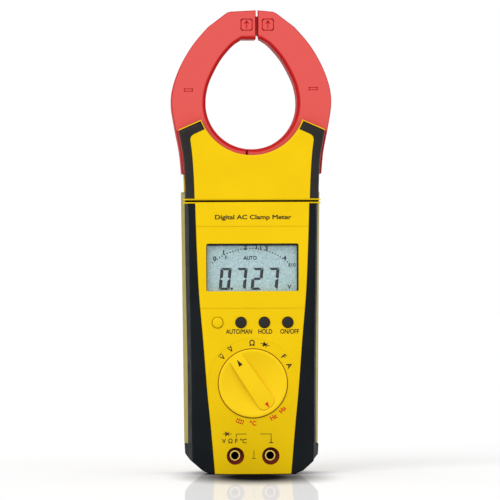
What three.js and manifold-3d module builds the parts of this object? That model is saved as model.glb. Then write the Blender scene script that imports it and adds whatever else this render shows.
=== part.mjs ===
// A hand-held clamp meter, standing on its base: two pivoting jaws with side levers, a display,
// four push buttons, a rotary selector, two recessed 4 mm sockets and everything that they need inside.
// Millimetres. X is to the right seen from the front, Y runs from front to back, Z runs up the meter,
// and the origin is the centre of the base. An outline is drawn in the X-Z plane and extruded along Y.
import * as THREE from "three";
import { mergeVertices } from "three/addons/utils/BufferGeometryUtils.js";
import Module from "manifold-3d";

const wasm = await Module();
wasm.setup();

// ---------- driving dimensions ----------
const GAP = 0.3; // clearance between neighbouring pieces
const WALL = 2; // wall of every moulded shell
const GRIP = 1.8; // thickness of the soft grip over the hard shell

const FRONT = -18; // front plane of the case
const SPLIT = -2; // plane where the front case meets the rear case
const REAR = 20.5; // rear plane of the body
const HEAD_REAR = 18; // rear plane of the head
const COVER_LIP = 12.2; // the head covers reach from front or rear to this distance from the mid plane

const SEAM = 147.2; // height of the seam between the head cover and the body front case
const SEAM_GAP = 1;
const LIP = 0.7; // height of the yellow rims on both sides of the seam
const LIP_HALF = 36.9;
const STRIP_TOP = 152.3; // top of the rear case's side walls
const BUMPER_TOP = 16.1; // top of the black base

const RING = { x: 0, z: 199.9, radius: 24.7 }; // lower half of the conductor opening
const COVER_ARC = { z: 200.9, radius: 29, end: 19.9 }; // edge of the head covers around the opening
const JAW_HALF = 11.5; // half the thickness of a jaw
const JAW_TOP = 250.2;
const JAW_INNER_TOP = 234.7;
const LEVER_BOTTOM = 162;
const TIP_X = 3; // the jaw tips meet at this X
const TAIL_X = -2.55; // the jaw tails meet at this X
const TIP_GAP = 1; // gap between the plastic tips; the pole faces inside almost close it
const TAIL_GAP = 0.5;
const POLE = { half: 6, low: 237.1, high: 246.9, depth: 6 }; // the steel pole face inside a jaw tip
const SHIELD = { reach: 0.7, inner: 6.6, outer: 10.4 }; // ribs on the left tip that cover the pole gap
const PIVOT = { x: 20, z: 169 };
const PIN_RADIUS = 2.5;
const SPRING = { z: 155.5, radius: 3.4, wire: 0.9, turns: 7 };
const COIL = { low: 199, high: 224, half: 8.9 };
const LUG = { inner: 13, outer: 17, bottom: 151.5 };

const WINDOW = { half: 24.9, low: 98.6, high: 124.1 }; // opening over the display
const BUTTON = { radius: 2.97, z: 81.8, pitch: 12.6, travel: 0.8, front: -18.9 };
const KNOB = { z: 49, radius: 18.45, rim: -18.8, bowl: { reach: 17.2, depth: 2.8 }, angle: 34 };
const BOWL_STEPS = 5;
const SOCKET = { x: 9.52, z: 9.9, mouth: 4.57, tube: 2.95, bore: 2, front: -9.5, rear: 3.7, floor: 0.5 };

const BOARD = { front: -9, rear: -7.4 };
const BATTERY = { half: 13.1, low: 21, high: 67.5, front: -0.3, rear: 16.8 };
const SIDE_SLOPE = { width: 1.7, depth: 9 }; // the rear case's side walls slope back from their front edge
const COVER = { half: 17, low: 19, high: 82 }; // battery cover
const CASE_SCREWS = [
  { name: "case_screw_lower_left", x: -26, z: 21, top: REAR },
  { name: "case_screw_lower_right", x: 26, z: 21, top: REAR },
  { name: "case_screw_upper_left", x: -28, z: 139, top: REAR },
  { name: "case_screw_upper_right", x: 28, z: 139, top: REAR },
  { name: "head_screw_left", x: -30.5, z: 151.2, top: HEAD_REAR },
  { name: "head_screw_right", x: 30.5, z: 151.2, top: HEAD_REAR },
];
const SCREW = { shaft: 1.5, head: 2.8, headDepth: 2, sink: 2.4, boss: 3.3, rearBoss: 4.4 };

// ---------- materials ----------
const plastic = (color, roughness) => new THREE.MeshStandardMaterial({ color, roughness, metalness: 0 });
const metal = (color, roughness) => new THREE.MeshStandardMaterial({ color, roughness, metalness: 1 });
const YELLOW = plastic(0xf2c90a, 0.45);
const BLACK_GRIP = plastic(0x1c1f22, 0.8);
const RED = plastic(0xe8504e, 0.5);
const BLACK = plastic(0x26231f, 0.55);
const WHITE = plastic(0xe9e8e2, 0.6);
const GREEN = plastic(0x1f6b3a, 0.5);
const DISPLAY = plastic(0xa9b8b4, 0.3);
const CLEAR = plastic(0xdfe8ea, 0.1);
const RUBBER = plastic(0x6f7478, 0.8);
const BRASS = metal(0xe0b55a, 0.3);
const STEEL = metal(0xb9bcc0, 0.3);
const LAMINATION = metal(0x6d7076, 0.5);
const COPPER = metal(0xb4662e, 0.4);
const CELL = plastic(0x3a4a78, 0.4);
const WIRE_RED = plastic(0xb81f1f, 0.5);
const WIRE_BLACK = plastic(0x151515, 0.5);

// ---------- solids ----------
const v2 = (x, z) => new THREE.Vector2(x, z);

// A closed geometry as a solid that can be joined and cut.
function solid(geometry) {
  const bare = geometry.index ? geometry.toNonIndexed() : geometry.clone();
  bare.deleteAttribute("normal");
  bare.deleteAttribute("uv");
  const merged = mergeVertices(bare, 1e-4);
  return new wasm.Manifold(
    new wasm.Mesh({
      numProp: 3,
      vertProperties: merged.attributes.position.array,
      triVerts: new Uint32Array(merged.index.array),
    }),
  );
}

function geometryOf(body) {
  const mesh = body.getMesh();
  const geometry = new THREE.BufferGeometry();
  geometry.setAttribute("position", new THREE.BufferAttribute(mesh.vertProperties, mesh.numProp));
  geometry.setIndex(new THREE.BufferAttribute(mesh.triVerts, 1));
  geometry.computeVertexNormals();
  return geometry;
}

// An outline (points in X-Z) extruded from y0 to y1.
function plate(points, y0, y1) {
  const shape = new THREE.Shape(points);
  const geometry = new THREE.ExtrudeGeometry(shape, { depth: y1 - y0, bevelEnabled: false });
  return solid(geometry.rotateX(Math.PI / 2).translate(0, y1, 0));
}

// The same with rounded edges at both ends. The outline stays the widest section.
function roundedPlate(points, y0, y1, radius, segments) {
  const geometry = new THREE.ExtrudeGeometry(new THREE.Shape(points), {
    depth: y1 - y0 - 2 * radius,
    bevelEnabled: true,
    bevelThickness: radius,
    bevelSize: radius,
    bevelOffset: -radius,
    bevelSegments: segments,
  });
  return solid(geometry.rotateX(Math.PI / 2).translate(0, y1 - radius, 0));
}

function box(x0, x1, y0, y1, z0, z1) {
  const geometry = new THREE.BoxGeometry(x1 - x0, y1 - y0, z1 - z0);
  return solid(geometry.translate((x0 + x1) / 2, (y0 + y1) / 2, (z0 + z1) / 2));
}

// A round bar along Y.
function bar(radius, x, z, y0, y1, sides = 24) {
  const geometry = new THREE.CylinderGeometry(radius, radius, y1 - y0, sides);
  return solid(geometry.translate(x, (y0 + y1) / 2, z));
}

// A body turned about the Y axis through (x, z). The profile is a list of [radius, y].
function turned(profile, x, z, sides = 32) {
  const points = profile.map(([radius, y]) => v2(radius, y));
  return solid(new THREE.LatheGeometry(points, sides).translate(x, 0, z));
}

// A round wire along a curve.
function wire(curve, radius, steps, sides = 8) {
  const section = new THREE.Shape(
    Array.from({ length: sides }, (_, i) => {
      const angle = (2 * Math.PI * i) / sides;
      return v2(radius * Math.cos(angle), radius * Math.sin(angle));
    }),
  );
  return new THREE.ExtrudeGeometry(section, { steps, extrudePath: curve, bevelEnabled: false });
}

// ---------- outlines ----------
// Moves every side of a closed counter-clockwise outline inwards. A negative distance grows it.
function inset(points, distance) {
  return points.map((point, i) => {
    const incoming = point.clone().sub(points.at(i - 1)).normalize();
    const outgoing = points[(i + 1) % points.length].clone().sub(point).normalize();
    const bisector = v2(-incoming.y - outgoing.y, incoming.x + outgoing.x);
    return point.clone().addScaledVector(bisector, (2 * distance) / bisector.lengthSq());
  });
}

// A symmetrical outline from its right side, listed from bottom to top.
function mirrored(rightSide) {
  const leftSide = rightSide.map((p) => v2(-p.x, p.y)).reverse();
  return [...rightSide, ...leftSide];
}

const smooth = (points, steps) => new THREE.SplineCurve(points).getPoints(steps);

// A point by its distance and its angle, as a rule from the centre of the conductor opening.
function polar(radius, degrees, centreZ = RING.z) {
  const angle = THREE.MathUtils.degToRad(degrees);
  return v2(RING.x + radius * Math.cos(angle), centreZ + radius * Math.sin(angle));
}

function arcPoints(radius, from, to, steps, centreZ = RING.z) {
  const step = (to - from) / steps;
  return Array.from({ length: steps + 1 }, (_, i) => polar(radius, from + step * i, centreZ));
}

// The chamfered lower corner of the body, from the flat of the base up to the side at the given half width.
const lowerCorner = (half) => [v2(10, 0), v2(22.6, 0.1), v2(27.2, 2.1), v2(half - 2.4, 7.1), v2(half, 10.3)];

// Front half of the body, as far as the soft grip reaches: full width at the base, and about 1.5 mm
// narrower than the rear half above it.
function gripOutline() {
  const side = smooth([v2(34.6, 17.5), v2(34.8, 60), v2(35.5, 100), v2(36.1, SEAM)], 8);
  return mirrored([...lowerCorner(35.8), v2(35.9, BUMPER_TOP - GAP), v2(34.6, BUMPER_TOP), ...side]);
}

// Rear half of the body.
function rearOutline() {
  const side = smooth([v2(36.2, 17.5), v2(36.6, 58), v2(37.1, 110), v2(37.6, STRIP_TOP)], 8);
  return mirrored([...lowerCorner(35.8), ...side]);
}

// The yellow face between the grips.
function panelOutline() {
  const lower = [v2(20.7, 1.3), v2(22.6, 24), v2(24.7, 46), v2(26.7, 72)];
  const upper = [v2(28.9, 98), v2(30.1, 124), v2(30.8, SEAM)];
  return mirrored([v2(10, 0.9), ...smooth([...lower, ...upper], 12)]);
}

// The head covers: the arc round the opening, the slanting shoulders and the sides.
const SHOULDER = v2(39.4, 185.8);
const HEAD_SIDE = [v2(36, 154), v2(36.4, 167), v2(37.3, 174), v2(38.7, 182)];

function headOutline(bottom) {
  const { radius, z, end } = COVER_ARC;
  const arc = arcPoints(radius, -end, end - 180, 12, z);
  const right = [v2(36, bottom), ...HEAD_SIDE, SHOULDER];
  const left = right.map((p) => v2(-p.x, p.y)).reverse();
  return [...right, ...arc, ...left];
}

// The L-shaped strip of the head's front that the right-hand soft grip covers.
const headGripOutline = () => [
  v2(31, SEAM + SEAM_GAP / 2 + LIP + 0.1),
  v2(45, SEAM + SEAM_GAP / 2 + LIP + 0.1),
  v2(45, 182.7),
  v2(39.1, 185.3),
  v2(27.7, 190.3),
  v2(25.5, 185.8),
  v2(31.2, 183.2),
  v2(32.7, 182),
  v2(33.2, 180.2),
  v2(32.2, 172),
  v2(31.4, 160),
];

// One jaw as if it were the right one: tip and tail faces at the given X, seen from its own side.
function jawOutline(tipX, tailX) {
  const tailAngle = THREE.MathUtils.radToDeg(Math.acos(tailX / RING.radius));
  const outer = [
    v2(37.65, LEVER_BOTTOM),
    v2(38.75, 173.5),
    v2(41.3, 187),
    v2(43.1, 199),
    v2(42.15, 209),
    v2(38, 220.5),
    v2(31.5, 231.6),
    v2(23.4, 241.1),
  ];
  const innerTop = [v2(8.3, 232.6), v2(11.8, 229.2), v2(17.1, 222.4)];
  const inner = [...innerTop, v2(22.3, 212.3), v2(24.3, 205), v2(RING.radius, RING.z)];
  return [
    v2(tailX, 167.8),
    v2(LUG.inner, 161.2),
    v2(LUG.inner, LUG.bottom),
    v2(LUG.outer, LUG.bottom),
    v2(LUG.outer, 162.1),
    v2(22, 161.4),
    v2(27.5, 164.2),
    v2(31, 169),
    v2(32.4, 169),
    v2(32, LEVER_BOTTOM),
    ...smooth(outer, 11),
    v2(13.9, 248.3),
    v2(10.9, 249.5),
    v2(tipX, JAW_TOP),
    v2(tipX, JAW_INNER_TOP),
    v2(5, JAW_INNER_TOP),
    ...smooth(inner, 9),
    ...arcPoints(RING.radius, 0, -tailAngle, 8).slice(1),
  ];
}

// The hollow of a jaw in polar form round the opening's centre: angle in degrees, inner and outer radius.
const HOLLOW = [
  [-100, 26.7, 30.2],
  [-75, 26.7, 30.6],
  [-57, 26.7, 31.3],
  [-42, 26.7, 33.5],
  [-25, 26.7, 39],
  [-5, 26.7, 41.1],
  [12, 26.7, 41.2],
  [30, 27, 41.4],
  [45, 28.5, 42.4],
  [60, 31.3, 44.6],
  [75, 35.2, 47.3],
  [86, 36.9, 47.4],
  [98, 37.1, 47.8],
];

// The outline of a part of that hollow, made narrower on both sides by a margin.
function bandOutline(stations, margin) {
  const outer = stations.map(([angle, , radius]) => polar(radius - margin, angle));
  const inner = stations.map(([angle, radius]) => polar(radius + margin, angle)).reverse();
  return [...outer, ...inner];
}

// ---------- assembly ----------
const meter = new THREE.Group();

function add(name, shape, material, parent = meter) {
  const geometry = shape.isBufferGeometry ? shape : geometryOf(shape);
  const mesh = new THREE.Mesh(geometry, material);
  mesh.name = name;
  parent.add(mesh);
  return mesh;
}

const FAR = 400; // larger than the object, for half-space cuts
const below = (z) => box(-FAR, FAR, -FAR, FAR, -FAR, z);
const above = (z) => box(-FAR, FAR, -FAR, FAR, z, FAR);
const inFrontOf = (y) => box(-FAR, FAR, -FAR, y, -FAR, FAR);
const behind = (y) => box(-FAR, FAR, y, FAR, -FAR, FAR);
const rect = (half, low, high) => mirrored([v2(half, low), v2(half, high)]);

// ---------- jaws ----------
function buildJaw(side, tipX, tailX) {
  const sideName = side < 0 ? "left" : "right";
  const jaw = new THREE.Group();
  meter.add(jaw);
  // Both jaws are drawn as the right one. The left one's outlines are mirrored.
  const facing = (points) => (side < 0 ? points.map((p) => v2(-p.x, p.y)).reverse() : points);
  const slab = (points, y0, y1) => plate(facing(points), y0, y1);
  const outline = jawOutline(tipX, tailX);

  // Everything that lies more than the margin behind the tip face and the tail face.
  const behindFaces = (margin) => {
    const tipStep = [v2(tipX + margin, FAR), v2(tipX + margin, RING.z)];
    const tailStep = [v2(tailX + margin, RING.z), v2(tailX + margin, -FAR)];
    return slab([...tipStep, ...tailStep, v2(FAR, -FAR), v2(FAR, FAR)], -FAR, FAR);
  };
  const coilSpan = (margin) => box(-FAR, FAR, -FAR, FAR, COIL.low - margin, COIL.high + margin);
  const coilStations = HOLLOW.slice(4, 10);
  // A block at the tip, as high as the pole face and reaching so far out of the tip face.
  const tipBlock = (margin, reach, y0, y1) => {
    const end = tipX + POLE.depth;
    const inside = [v2(end, POLE.low), v2(end, POLE.high)];
    const points = [v2(tipX - reach, POLE.low), ...inside, v2(tipX - reach, POLE.high)];
    return slab(inset(points, -margin), y0 - margin, y1 + margin);
  };
  const pole = (margin, reach) => tipBlock(margin, reach, -POLE.half, POLE.half);
  const shield = tipBlock(0, SHIELD.reach, -SHIELD.outer, -SHIELD.inner).add(
    tipBlock(0, SHIELD.reach, SHIELD.inner, SHIELD.outer),
  );

  const hole = bar(PIN_RADIUS + GAP, side * PIVOT.x, PIVOT.z, -FAR, FAR);
  const hollow = slab(bandOutline(HOLLOW, 0), -9.3, 9.3).intersect(behindFaces(1.6));
  const plain = roundedPlate(facing(outline), -JAW_HALF, JAW_HALF, 1.6, 2)
    .subtract(hole)
    .subtract(hollow)
    .subtract(pole(GAP, TIP_GAP));
  const blank = side < 0 ? plain.add(shield) : plain;
  add(`jaw_${sideName}_front_shell`, blank.intersect(inFrontOf(0)), RED, jaw);
  add(`jaw_${sideName}_rear_shell`, blank.intersect(behind(GAP)), RED, jaw);

  const wide = slab(bandOutline(HOLLOW, 0.4), -6, 6).intersect(behindFaces(2)).subtract(coilSpan(GAP));
  const narrow = slab(bandOutline(coilStations, 2.4), -6, 6).intersect(coilSpan(GAP));
  add(`jaw_${sideName}_core`, wide.add(narrow).add(pole(0, TIP_GAP / 2 - 0.15)), LAMINATION, jaw);

  const winding = slab(bandOutline(coilStations, 0.4), -COIL.half, COIL.half).intersect(coilSpan(0));
  const coilRoom = slab(bandOutline(coilStations, 2.1), -6.3, 6.3);
  add(`jaw_${sideName}_coil`, winding.subtract(coilRoom), COPPER, jaw);

  add(`jaw_${sideName}_pivot_pin`, bar(PIN_RADIUS, side * PIVOT.x, PIVOT.z, -15.5, 15.5), STEEL);
}

function buildReturnSpring() {
  class Coil extends THREE.Curve {
    getPoint(t, target = new THREE.Vector3()) {
      const angle = 2 * Math.PI * SPRING.turns * t;
      const reach = LUG.inner - SPRING.wire;
      const y = SPRING.radius * Math.cos(angle);
      return target.set(-reach + 2 * reach * t, y, SPRING.z + SPRING.radius * Math.sin(angle));
    }
  }
  add("jaw_return_spring", wire(new Coil(), SPRING.wire / 2, SPRING.turns * 8, 5), STEEL);
}

// ---------- head ----------
// A round bar on the axis of each pivot.
function pivotBars(radius, y0, y1, sides) {
  return bar(radius, -PIVOT.x, PIVOT.z, y0, y1, sides).add(bar(radius, PIVOT.x, PIVOT.z, y0, y1, sides));
}

// Bosses on a cover for the pivot pins, reaching from the cover's wall towards the jaws.
const pinBosses = (y0, y1) => pivotBars(4.6, y0, y1, 16);
const pinHoles = (y0, y1) => pivotBars(PIN_RADIUS + GAP, y0, y1, 24);

const screwHoles = () =>
  CASE_SCREWS.map(({ x, z, top }) => {
    const shaft = bar(SCREW.shaft + GAP, x, z, -14, top + 1, 8);
    return shaft.add(bar(SCREW.head + GAP, x, z, top - SCREW.sink - SCREW.headDepth, top + 1, 12));
  }).reduce((a, b) => a.add(b));

const screwBosses = (y0, y1, radius, wanted) =>
  CASE_SCREWS.filter(wanted)
    .map(({ x, z }) => bar(radius, x, z, y0, y1, 12))
    .reduce((a, b) => a.add(b));

const isHeadScrew = ({ z }) => z > SEAM;
const isBodyScrew = ({ z }) => z < SEAM;

function buildHead() {
  const bottom = SEAM + SEAM_GAP / 2;
  const outline = headOutline(bottom);
  const core = inset(headOutline(bottom - GRIP), GRIP);
  const skirt = (points, y0) => {
    const upper = plate(points, y0, -COVER_LIP).intersect(above(STRIP_TOP - 1));
    return upper.add(plate(points, y0, SPLIT).intersect(below(STRIP_TOP)));
  };
  const gripZone = [headGripOutline(), headGripOutline().map((p) => v2(-p.x, p.y)).reverse()];
  const gripSpace = gripZone.map((zone) => plate(zone, -FAR, FAR)).reduce((a, b) => a.add(b));

  // The hard cover: full thickness where it shows, and GRIP thinner under the soft grips.
  const envelope = roundedPlate(outline, FRONT, -FRONT, 1.2, 2).intersect(skirt(outline, FRONT));
  const rim = box(-LIP_HALF, LIP_HALF, FRONT + 0.6, SPLIT, bottom, bottom + LIP);
  const room = skirt(inset(core, WALL), FRONT + GRIP + WALL).add(
    box(-30, 30, FRONT + GRIP + WALL, FAR, bottom + WALL, STRIP_TOP + 4),
  );
  const cover = envelope
    .subtract(gripSpace)
    .add(skirt(core, FRONT + GRIP))
    .add(rim)
    .subtract(room)
    .add(pinBosses(FRONT + GRIP, -COVER_LIP))
    .add(screwBosses(FRONT + GRIP, SPLIT, SCREW.boss, isHeadScrew).intersect(above(bottom + LIP)))
    .subtract(pinHoles(-15.9, 0))
    .subtract(screwHoles());
  add("head_front_cover", cover, YELLOW);

  const clearance = skirt(inset(core, -0.2), FRONT + GRIP - 0.2);
  for (const [zone, name] of [
    [gripZone[1], "head_grip_left"],
    [gripZone[0], "head_grip_right"],
  ]) {
    const grip = roundedPlate(outline, FRONT, -FRONT, 3, 3)
      .intersect(skirt(outline, FRONT))
      .intersect(plate(inset(zone, 0.15), -FAR, FAR))
      .subtract(clearance);
    add(name, grip, BLACK_GRIP);
  }
}

// ---------- body front ----------
const buttonX = (index) => (index - 1.5) * BUTTON.pitch;

function frontOpenings() {
  let cuts = plate(rect(WINDOW.half, WINDOW.low, WINDOW.high), FRONT - 1, FRONT + 8);
  for (const index of [0, 1, 2, 3]) {
    cuts = cuts.add(bar(BUTTON.radius + 0.25, buttonX(index), BUTTON.z, FRONT - 1, FRONT + 6, 16));
  }
  cuts = cuts.add(bar(KNOB.radius + GAP, 0, KNOB.z, FRONT - 1, FRONT + 5, 40));
  for (const side of [-1, 1]) {
    cuts = cuts.add(bar(SOCKET.mouth, side * SOCKET.x, SOCKET.z, FRONT - 1, FRONT + 8));
  }
  return cuts;
}

// A wall round the knob with a shallow notch for each selector position.
function detentRing() {
  const positions = 22;
  const phase = THREE.MathUtils.degToRad(KNOB.angle);
  const rim = (angle) => 21.4 + 0.3 * Math.cos((angle - phase) * positions);
  const steps = positions * 2;
  const notched = Array.from({ length: steps }, (_, i) => {
    const angle = (2 * Math.PI * i) / steps;
    return v2(rim(angle) * Math.cos(angle), KNOB.z + rim(angle) * Math.sin(angle));
  });
  return bar(23, 0, KNOB.z, FRONT + WALL - 0.1, FRONT + 6, 32).subtract(plate(notched, -FAR, 0));
}

function buildBodyFront() {
  const top = SEAM - SEAM_GAP / 2;
  const outline = gripOutline();
  const core = inset(outline, GRIP);
  const panel = panelOutline();
  const room = plate(inset(core, WALL), FRONT + WALL, FAR).intersect(below(top - WALL));
  const rim = box(-LIP_HALF, LIP_HALF, FRONT + 0.6, SPLIT, top - LIP, top);
  const bosses = screwBosses(FRONT + GRIP, SPLIT, SCREW.boss, isBodyScrew);
  const boardPosts = BOARD_SCREWS.map(({ x, z }) => bar(2.6, x, z, FRONT + GRIP, BOARD.front - GAP, 12));
  const body = plate(core, FRONT + GRIP, SPLIT)
    .add(plate(panel, FRONT, FRONT + WALL))
    .intersect(below(top))
    .add(rim)
    .subtract(room)
    .add(bosses.intersect(plate(core, -FAR, FAR)))
    .add(boardPosts.reduce((a, b) => a.add(b)))
    .add(detentRing().intersect(plate(core, -FAR, FAR)))
    .subtract(frontOpenings())
    .subtract(boardScrewHoles())
    .subtract(screwHoles());
  add("body_front_case", body, YELLOW);

  const grip = roundedPlate(outline, FRONT, -FRONT, 3, 3)
    .intersect(below(top - LIP - 0.1))
    .intersect(inFrontOf(SPLIT))
    .subtract(plate(inset(core, -0.2), FRONT + GRIP - 0.2, FAR))
    .subtract(plate(inset(panel, -0.15), -FAR, 0));
  add("body_grip", grip, BLACK_GRIP);
}

// ---------- rear case ----------
// An outline extruded backwards from y0, its first stretch widening from a narrower front edge.
function slopedPlate(points, y0, y1) {
  const geometry = new THREE.ExtrudeGeometry(new THREE.Shape(points), {
    depth: y1 - y0,
    bevelEnabled: true,
    bevelThickness: SIDE_SLOPE.depth,
    bevelSize: SIDE_SLOPE.width,
    bevelOffset: -SIDE_SLOPE.width,
    bevelSegments: 1,
  });
  return solid(geometry.rotateX(Math.PI / 2).translate(0, y1 + SIDE_SLOPE.depth, 0));
}

function buildRearCase() {
  const front = SPLIT + GAP;
  const outline = rearOutline();
  const hull = roundedPlate(outline, -REAR, REAR, 5, 3);
  const coreHull = roundedPlate(inset(outline, GRIP), -REAR + GRIP, REAR - GRIP, 4, 3);
  const shell = hull
    .intersect(above(BUMPER_TOP))
    .intersect(slopedPlate(outline, front, REAR + SIDE_SLOPE.depth))
    .add(coreHull.intersect(below(BUMPER_TOP + 1)));
  const headOutside = headOutline(STRIP_TOP - 6);
  const headShell = roundedPlate(headOutside, -HEAD_REAR, HEAD_REAR, 3, 3).intersect(behind(COVER_LIP));
  const lowerRoom = plate(inset(outline, GRIP + WALL), -FAR, REAR - WALL).intersect(below(BUMPER_TOP + 1));
  const upperSpan = box(-FAR, FAR, -FAR, FAR, BUMPER_TOP, 147);
  const upperRoom = plate(inset(outline, 3.4), -FAR, REAR - 3.4).intersect(upperSpan);
  const headRoom = plate(inset(headOutside, WALL), -FAR, HEAD_REAR - WALL);
  const neck = box(-30, 30, -FAR, HEAD_REAR - WALL, 140, 160);
  const coverHole = plate(inset(rect(COVER.half, COVER.low, COVER.high), -0.25), REAR - 3.5, FAR);
  const bosses = screwBosses(front, REAR - 1, SCREW.rearBoss, isBodyScrew);
  const headBosses = screwBosses(front, HEAD_REAR - 1, SCREW.rearBoss, isHeadScrew);
  const coverPost = bar(3.4, 0, COVER.high - 4.5, 8, REAR - 3.5, 12);
  const { half, low, high } = BATTERY;
  const seat = plate(rect(COVER.half + 2, COVER.low - 1.7, COVER.high + 2), REAR - 5.5, REAR - 3);
  const compartment = plate(rect(half + 2, low - 1.8, high + 1), 4, REAR - 5)
    .add(seat)
    .subtract(plate(rect(half + 0.6, low - 0.6, high + 9), -FAR, FAR));
  const lowRoom = lowerRoom.intersect(plate(inset(outline, GRIP + WALL), -FAR, REAR - GRIP - WALL));
  const body = shell
    .add(headShell)
    .intersect(behind(front))
    .subtract(lowRoom)
    .subtract(upperRoom)
    .subtract(headRoom.intersect(above(STRIP_TOP - 4)))
    .subtract(neck)
    .add(bosses.intersect(above(BUMPER_TOP)))
    .add(headBosses)
    .add(pinBosses(COVER_LIP, HEAD_REAR - 1))
    .add(coverPost)
    .add(compartment)
    .intersect(behind(front))
    .subtract(pinHoles(0, 15.9))
    .subtract(coverHole)
    .subtract(bar(SCREW.shaft + GAP, 0, COVER.high - 4.5, 6, FAR, 16))
    .subtract(screwHoles());
  add("rear_case", body, YELLOW);

  const bumper = hull
    .intersect(below(BUMPER_TOP - GAP))
    .intersect(behind(front))
    .subtract(roundedPlate(inset(outline, GRIP - 0.2), -REAR, REAR - GRIP + 0.2, 4, 3));
  add("rear_base_bumper", bumper, BLACK_GRIP);
}

function buildBatteryCover() {
  const screwZ = COVER.high - 4.5;
  const lid = plate(rect(COVER.half, COVER.low, COVER.high), REAR - 3.2, REAR - 0.2)
    .subtract(bar(SCREW.shaft + GAP, 0, screwZ, -FAR, FAR, 16))
    .subtract(bar(SCREW.head + GAP, 0, screwZ, REAR - 2, FAR, 16));
  const finger = box(-7, 7, REAR - 0.9, FAR, COVER.high - 12.5, COVER.high - 11);
  add("battery_cover", lid.subtract(finger), YELLOW);
  add("battery_cover_screw", screw(0, screwZ, 10, REAR - 0.4), STEEL);
}

// A pan-head screw with a cross recess, its head towards the back.
function screw(x, z, tipY, topY) {
  const neck = topY - 1.6;
  const shaft = [[0, tipY], [SCREW.shaft, tipY + 1], [SCREW.shaft, neck]];
  const head = [[SCREW.head, neck], [SCREW.head, topY - 0.4], [SCREW.head - 0.5, topY], [0, topY]];
  const blank = turned([...shaft, ...head], x, z, 8);
  const slot = box(x - 1.7, x + 1.7, topY - 0.9, FAR, z - 0.35, z + 0.35);
  return blank.subtract(slot).subtract(box(x - 0.35, x + 0.35, topY - 0.9, FAR, z - 1.7, z + 1.7));
}

function buildCaseScrews() {
  for (const { name, x, z, top } of CASE_SCREWS) {
    add(name, screw(x, z, -13, top - SCREW.sink), STEEL);
  }
}

// ---------- display ----------
function buildDisplay() {
  const low = WINDOW.low - 2;
  const high = WINDOW.high + 2;
  const flange = box(-27, 27, FRONT + 2.3, FRONT + 3.3, low, high);
  const raised = plate(inset(rect(WINDOW.half, WINDOW.low, WINDOW.high), GAP), FRONT + 1, FRONT + 2.5);
  add("display_window", flange.add(raised), CLEAR);
  add("display_glass", box(-26, 26, FRONT + 3.7, FRONT + 5.9, low, high), DISPLAY);
  add("display_backlight", box(-25.5, 25.5, FRONT + 6.2, FRONT + 7.7, low + 4, high - 0.5), WHITE);
  add("display_contact_strip", box(-25, 25, FRONT + 6.2, BOARD.front - GAP, low + 0.2, low + 3), RUBBER);
  const outer = box(-28.4, 28.4, FRONT + 3.7, BOARD.front - GAP, low - 1.6, high + 1.6);
  const inner = box(-26.3, 26.3, -FAR, FAR, low - GAP, high + GAP);
  add("display_frame", outer.subtract(inner), BLACK);
}

// ---------- circuit board ----------
const BOARD_SCREWS = [
  { name: "board_screw_lower", x: -24, z: 28 },
  { name: "board_screw_upper", x: 24, z: 131.5 },
];

const boardScrewHoles = () =>
  BOARD_SCREWS.map(({ x, z }) => bar(1.3, x, z, FRONT + 2.5, 0, 12)).reduce((a, b) => a.add(b));

function buildBoard() {
  const outline = mirrored([v2(16.5, 4.6), v2(26.5, 11.5), v2(29, 30), v2(30, 141)]);
  let board = plate(outline, BOARD.front, BOARD.rear).subtract(boardScrewHoles());
  for (const { x, z } of CASE_SCREWS) {
    board = board.subtract(bar(SCREW.boss + GAP, x, z, -FAR, FAR, 12));
  }
  for (const side of [-1, 1]) {
    board = board.subtract(bar(SOCKET.mouth + 0.9 + GAP, side * SOCKET.x, SOCKET.z, -FAR, FAR, 24));
  }
  add("main_board", board.subtract(bar(4.2, 0, KNOB.z, -FAR, FAR, 16)), GREEN);
  const seat = BOARD.rear + GAP;
  const screwProfile = [[0, -14], [1, -14], [1, seat], [2.3, seat], [2.3, seat + 1.3], [0, seat + 1.3]];
  for (const { name, x, z } of BOARD_SCREWS) {
    add(name, turned(screwProfile, x, z, 12), STEEL);
  }
  add("measuring_chip", box(-7, 7, BOARD.rear + GAP, BOARD.rear + 2.1, 100, 114), BLACK);
  const soundHole = [[1, -2.4], [1, -3], [0, -3]];
  add("buzzer", turned([[0, -7.1], [6.5, -7.1], [6.5, -2.4], ...soundHole], 15, 96, 16), BLACK);
}

function buildButtons() {
  ["mode", "range", "hold", "power"].forEach((name, index) => {
    const x = buttonX(index);
    const { radius, front } = BUTTON;
    const cap = [[0, front], [radius - 0.5, front], [radius, front + 0.5], [radius, -15.7]];
    const flange = [[radius + 0.9, -15.7], [radius + 0.9, -14.7]];
    const stem = [[1.4, -14.7], [1.4, -13.8], [0, -13.8]];
    add(`button_${name}`, turned([...cap, ...flange, ...stem], x, BUTTON.z, 16), index ? BLACK : YELLOW);
    const plunger = bar(1.6, x, BUTTON.z, -12.8, -11.5, 12);
    const base = box(x - 3, x + 3, -11.8, BOARD.front - GAP, BUTTON.z - 3, BUTTON.z + 3);
    add(`tact_switch_${name}`, base.add(plunger), BLACK);
  });
}

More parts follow.
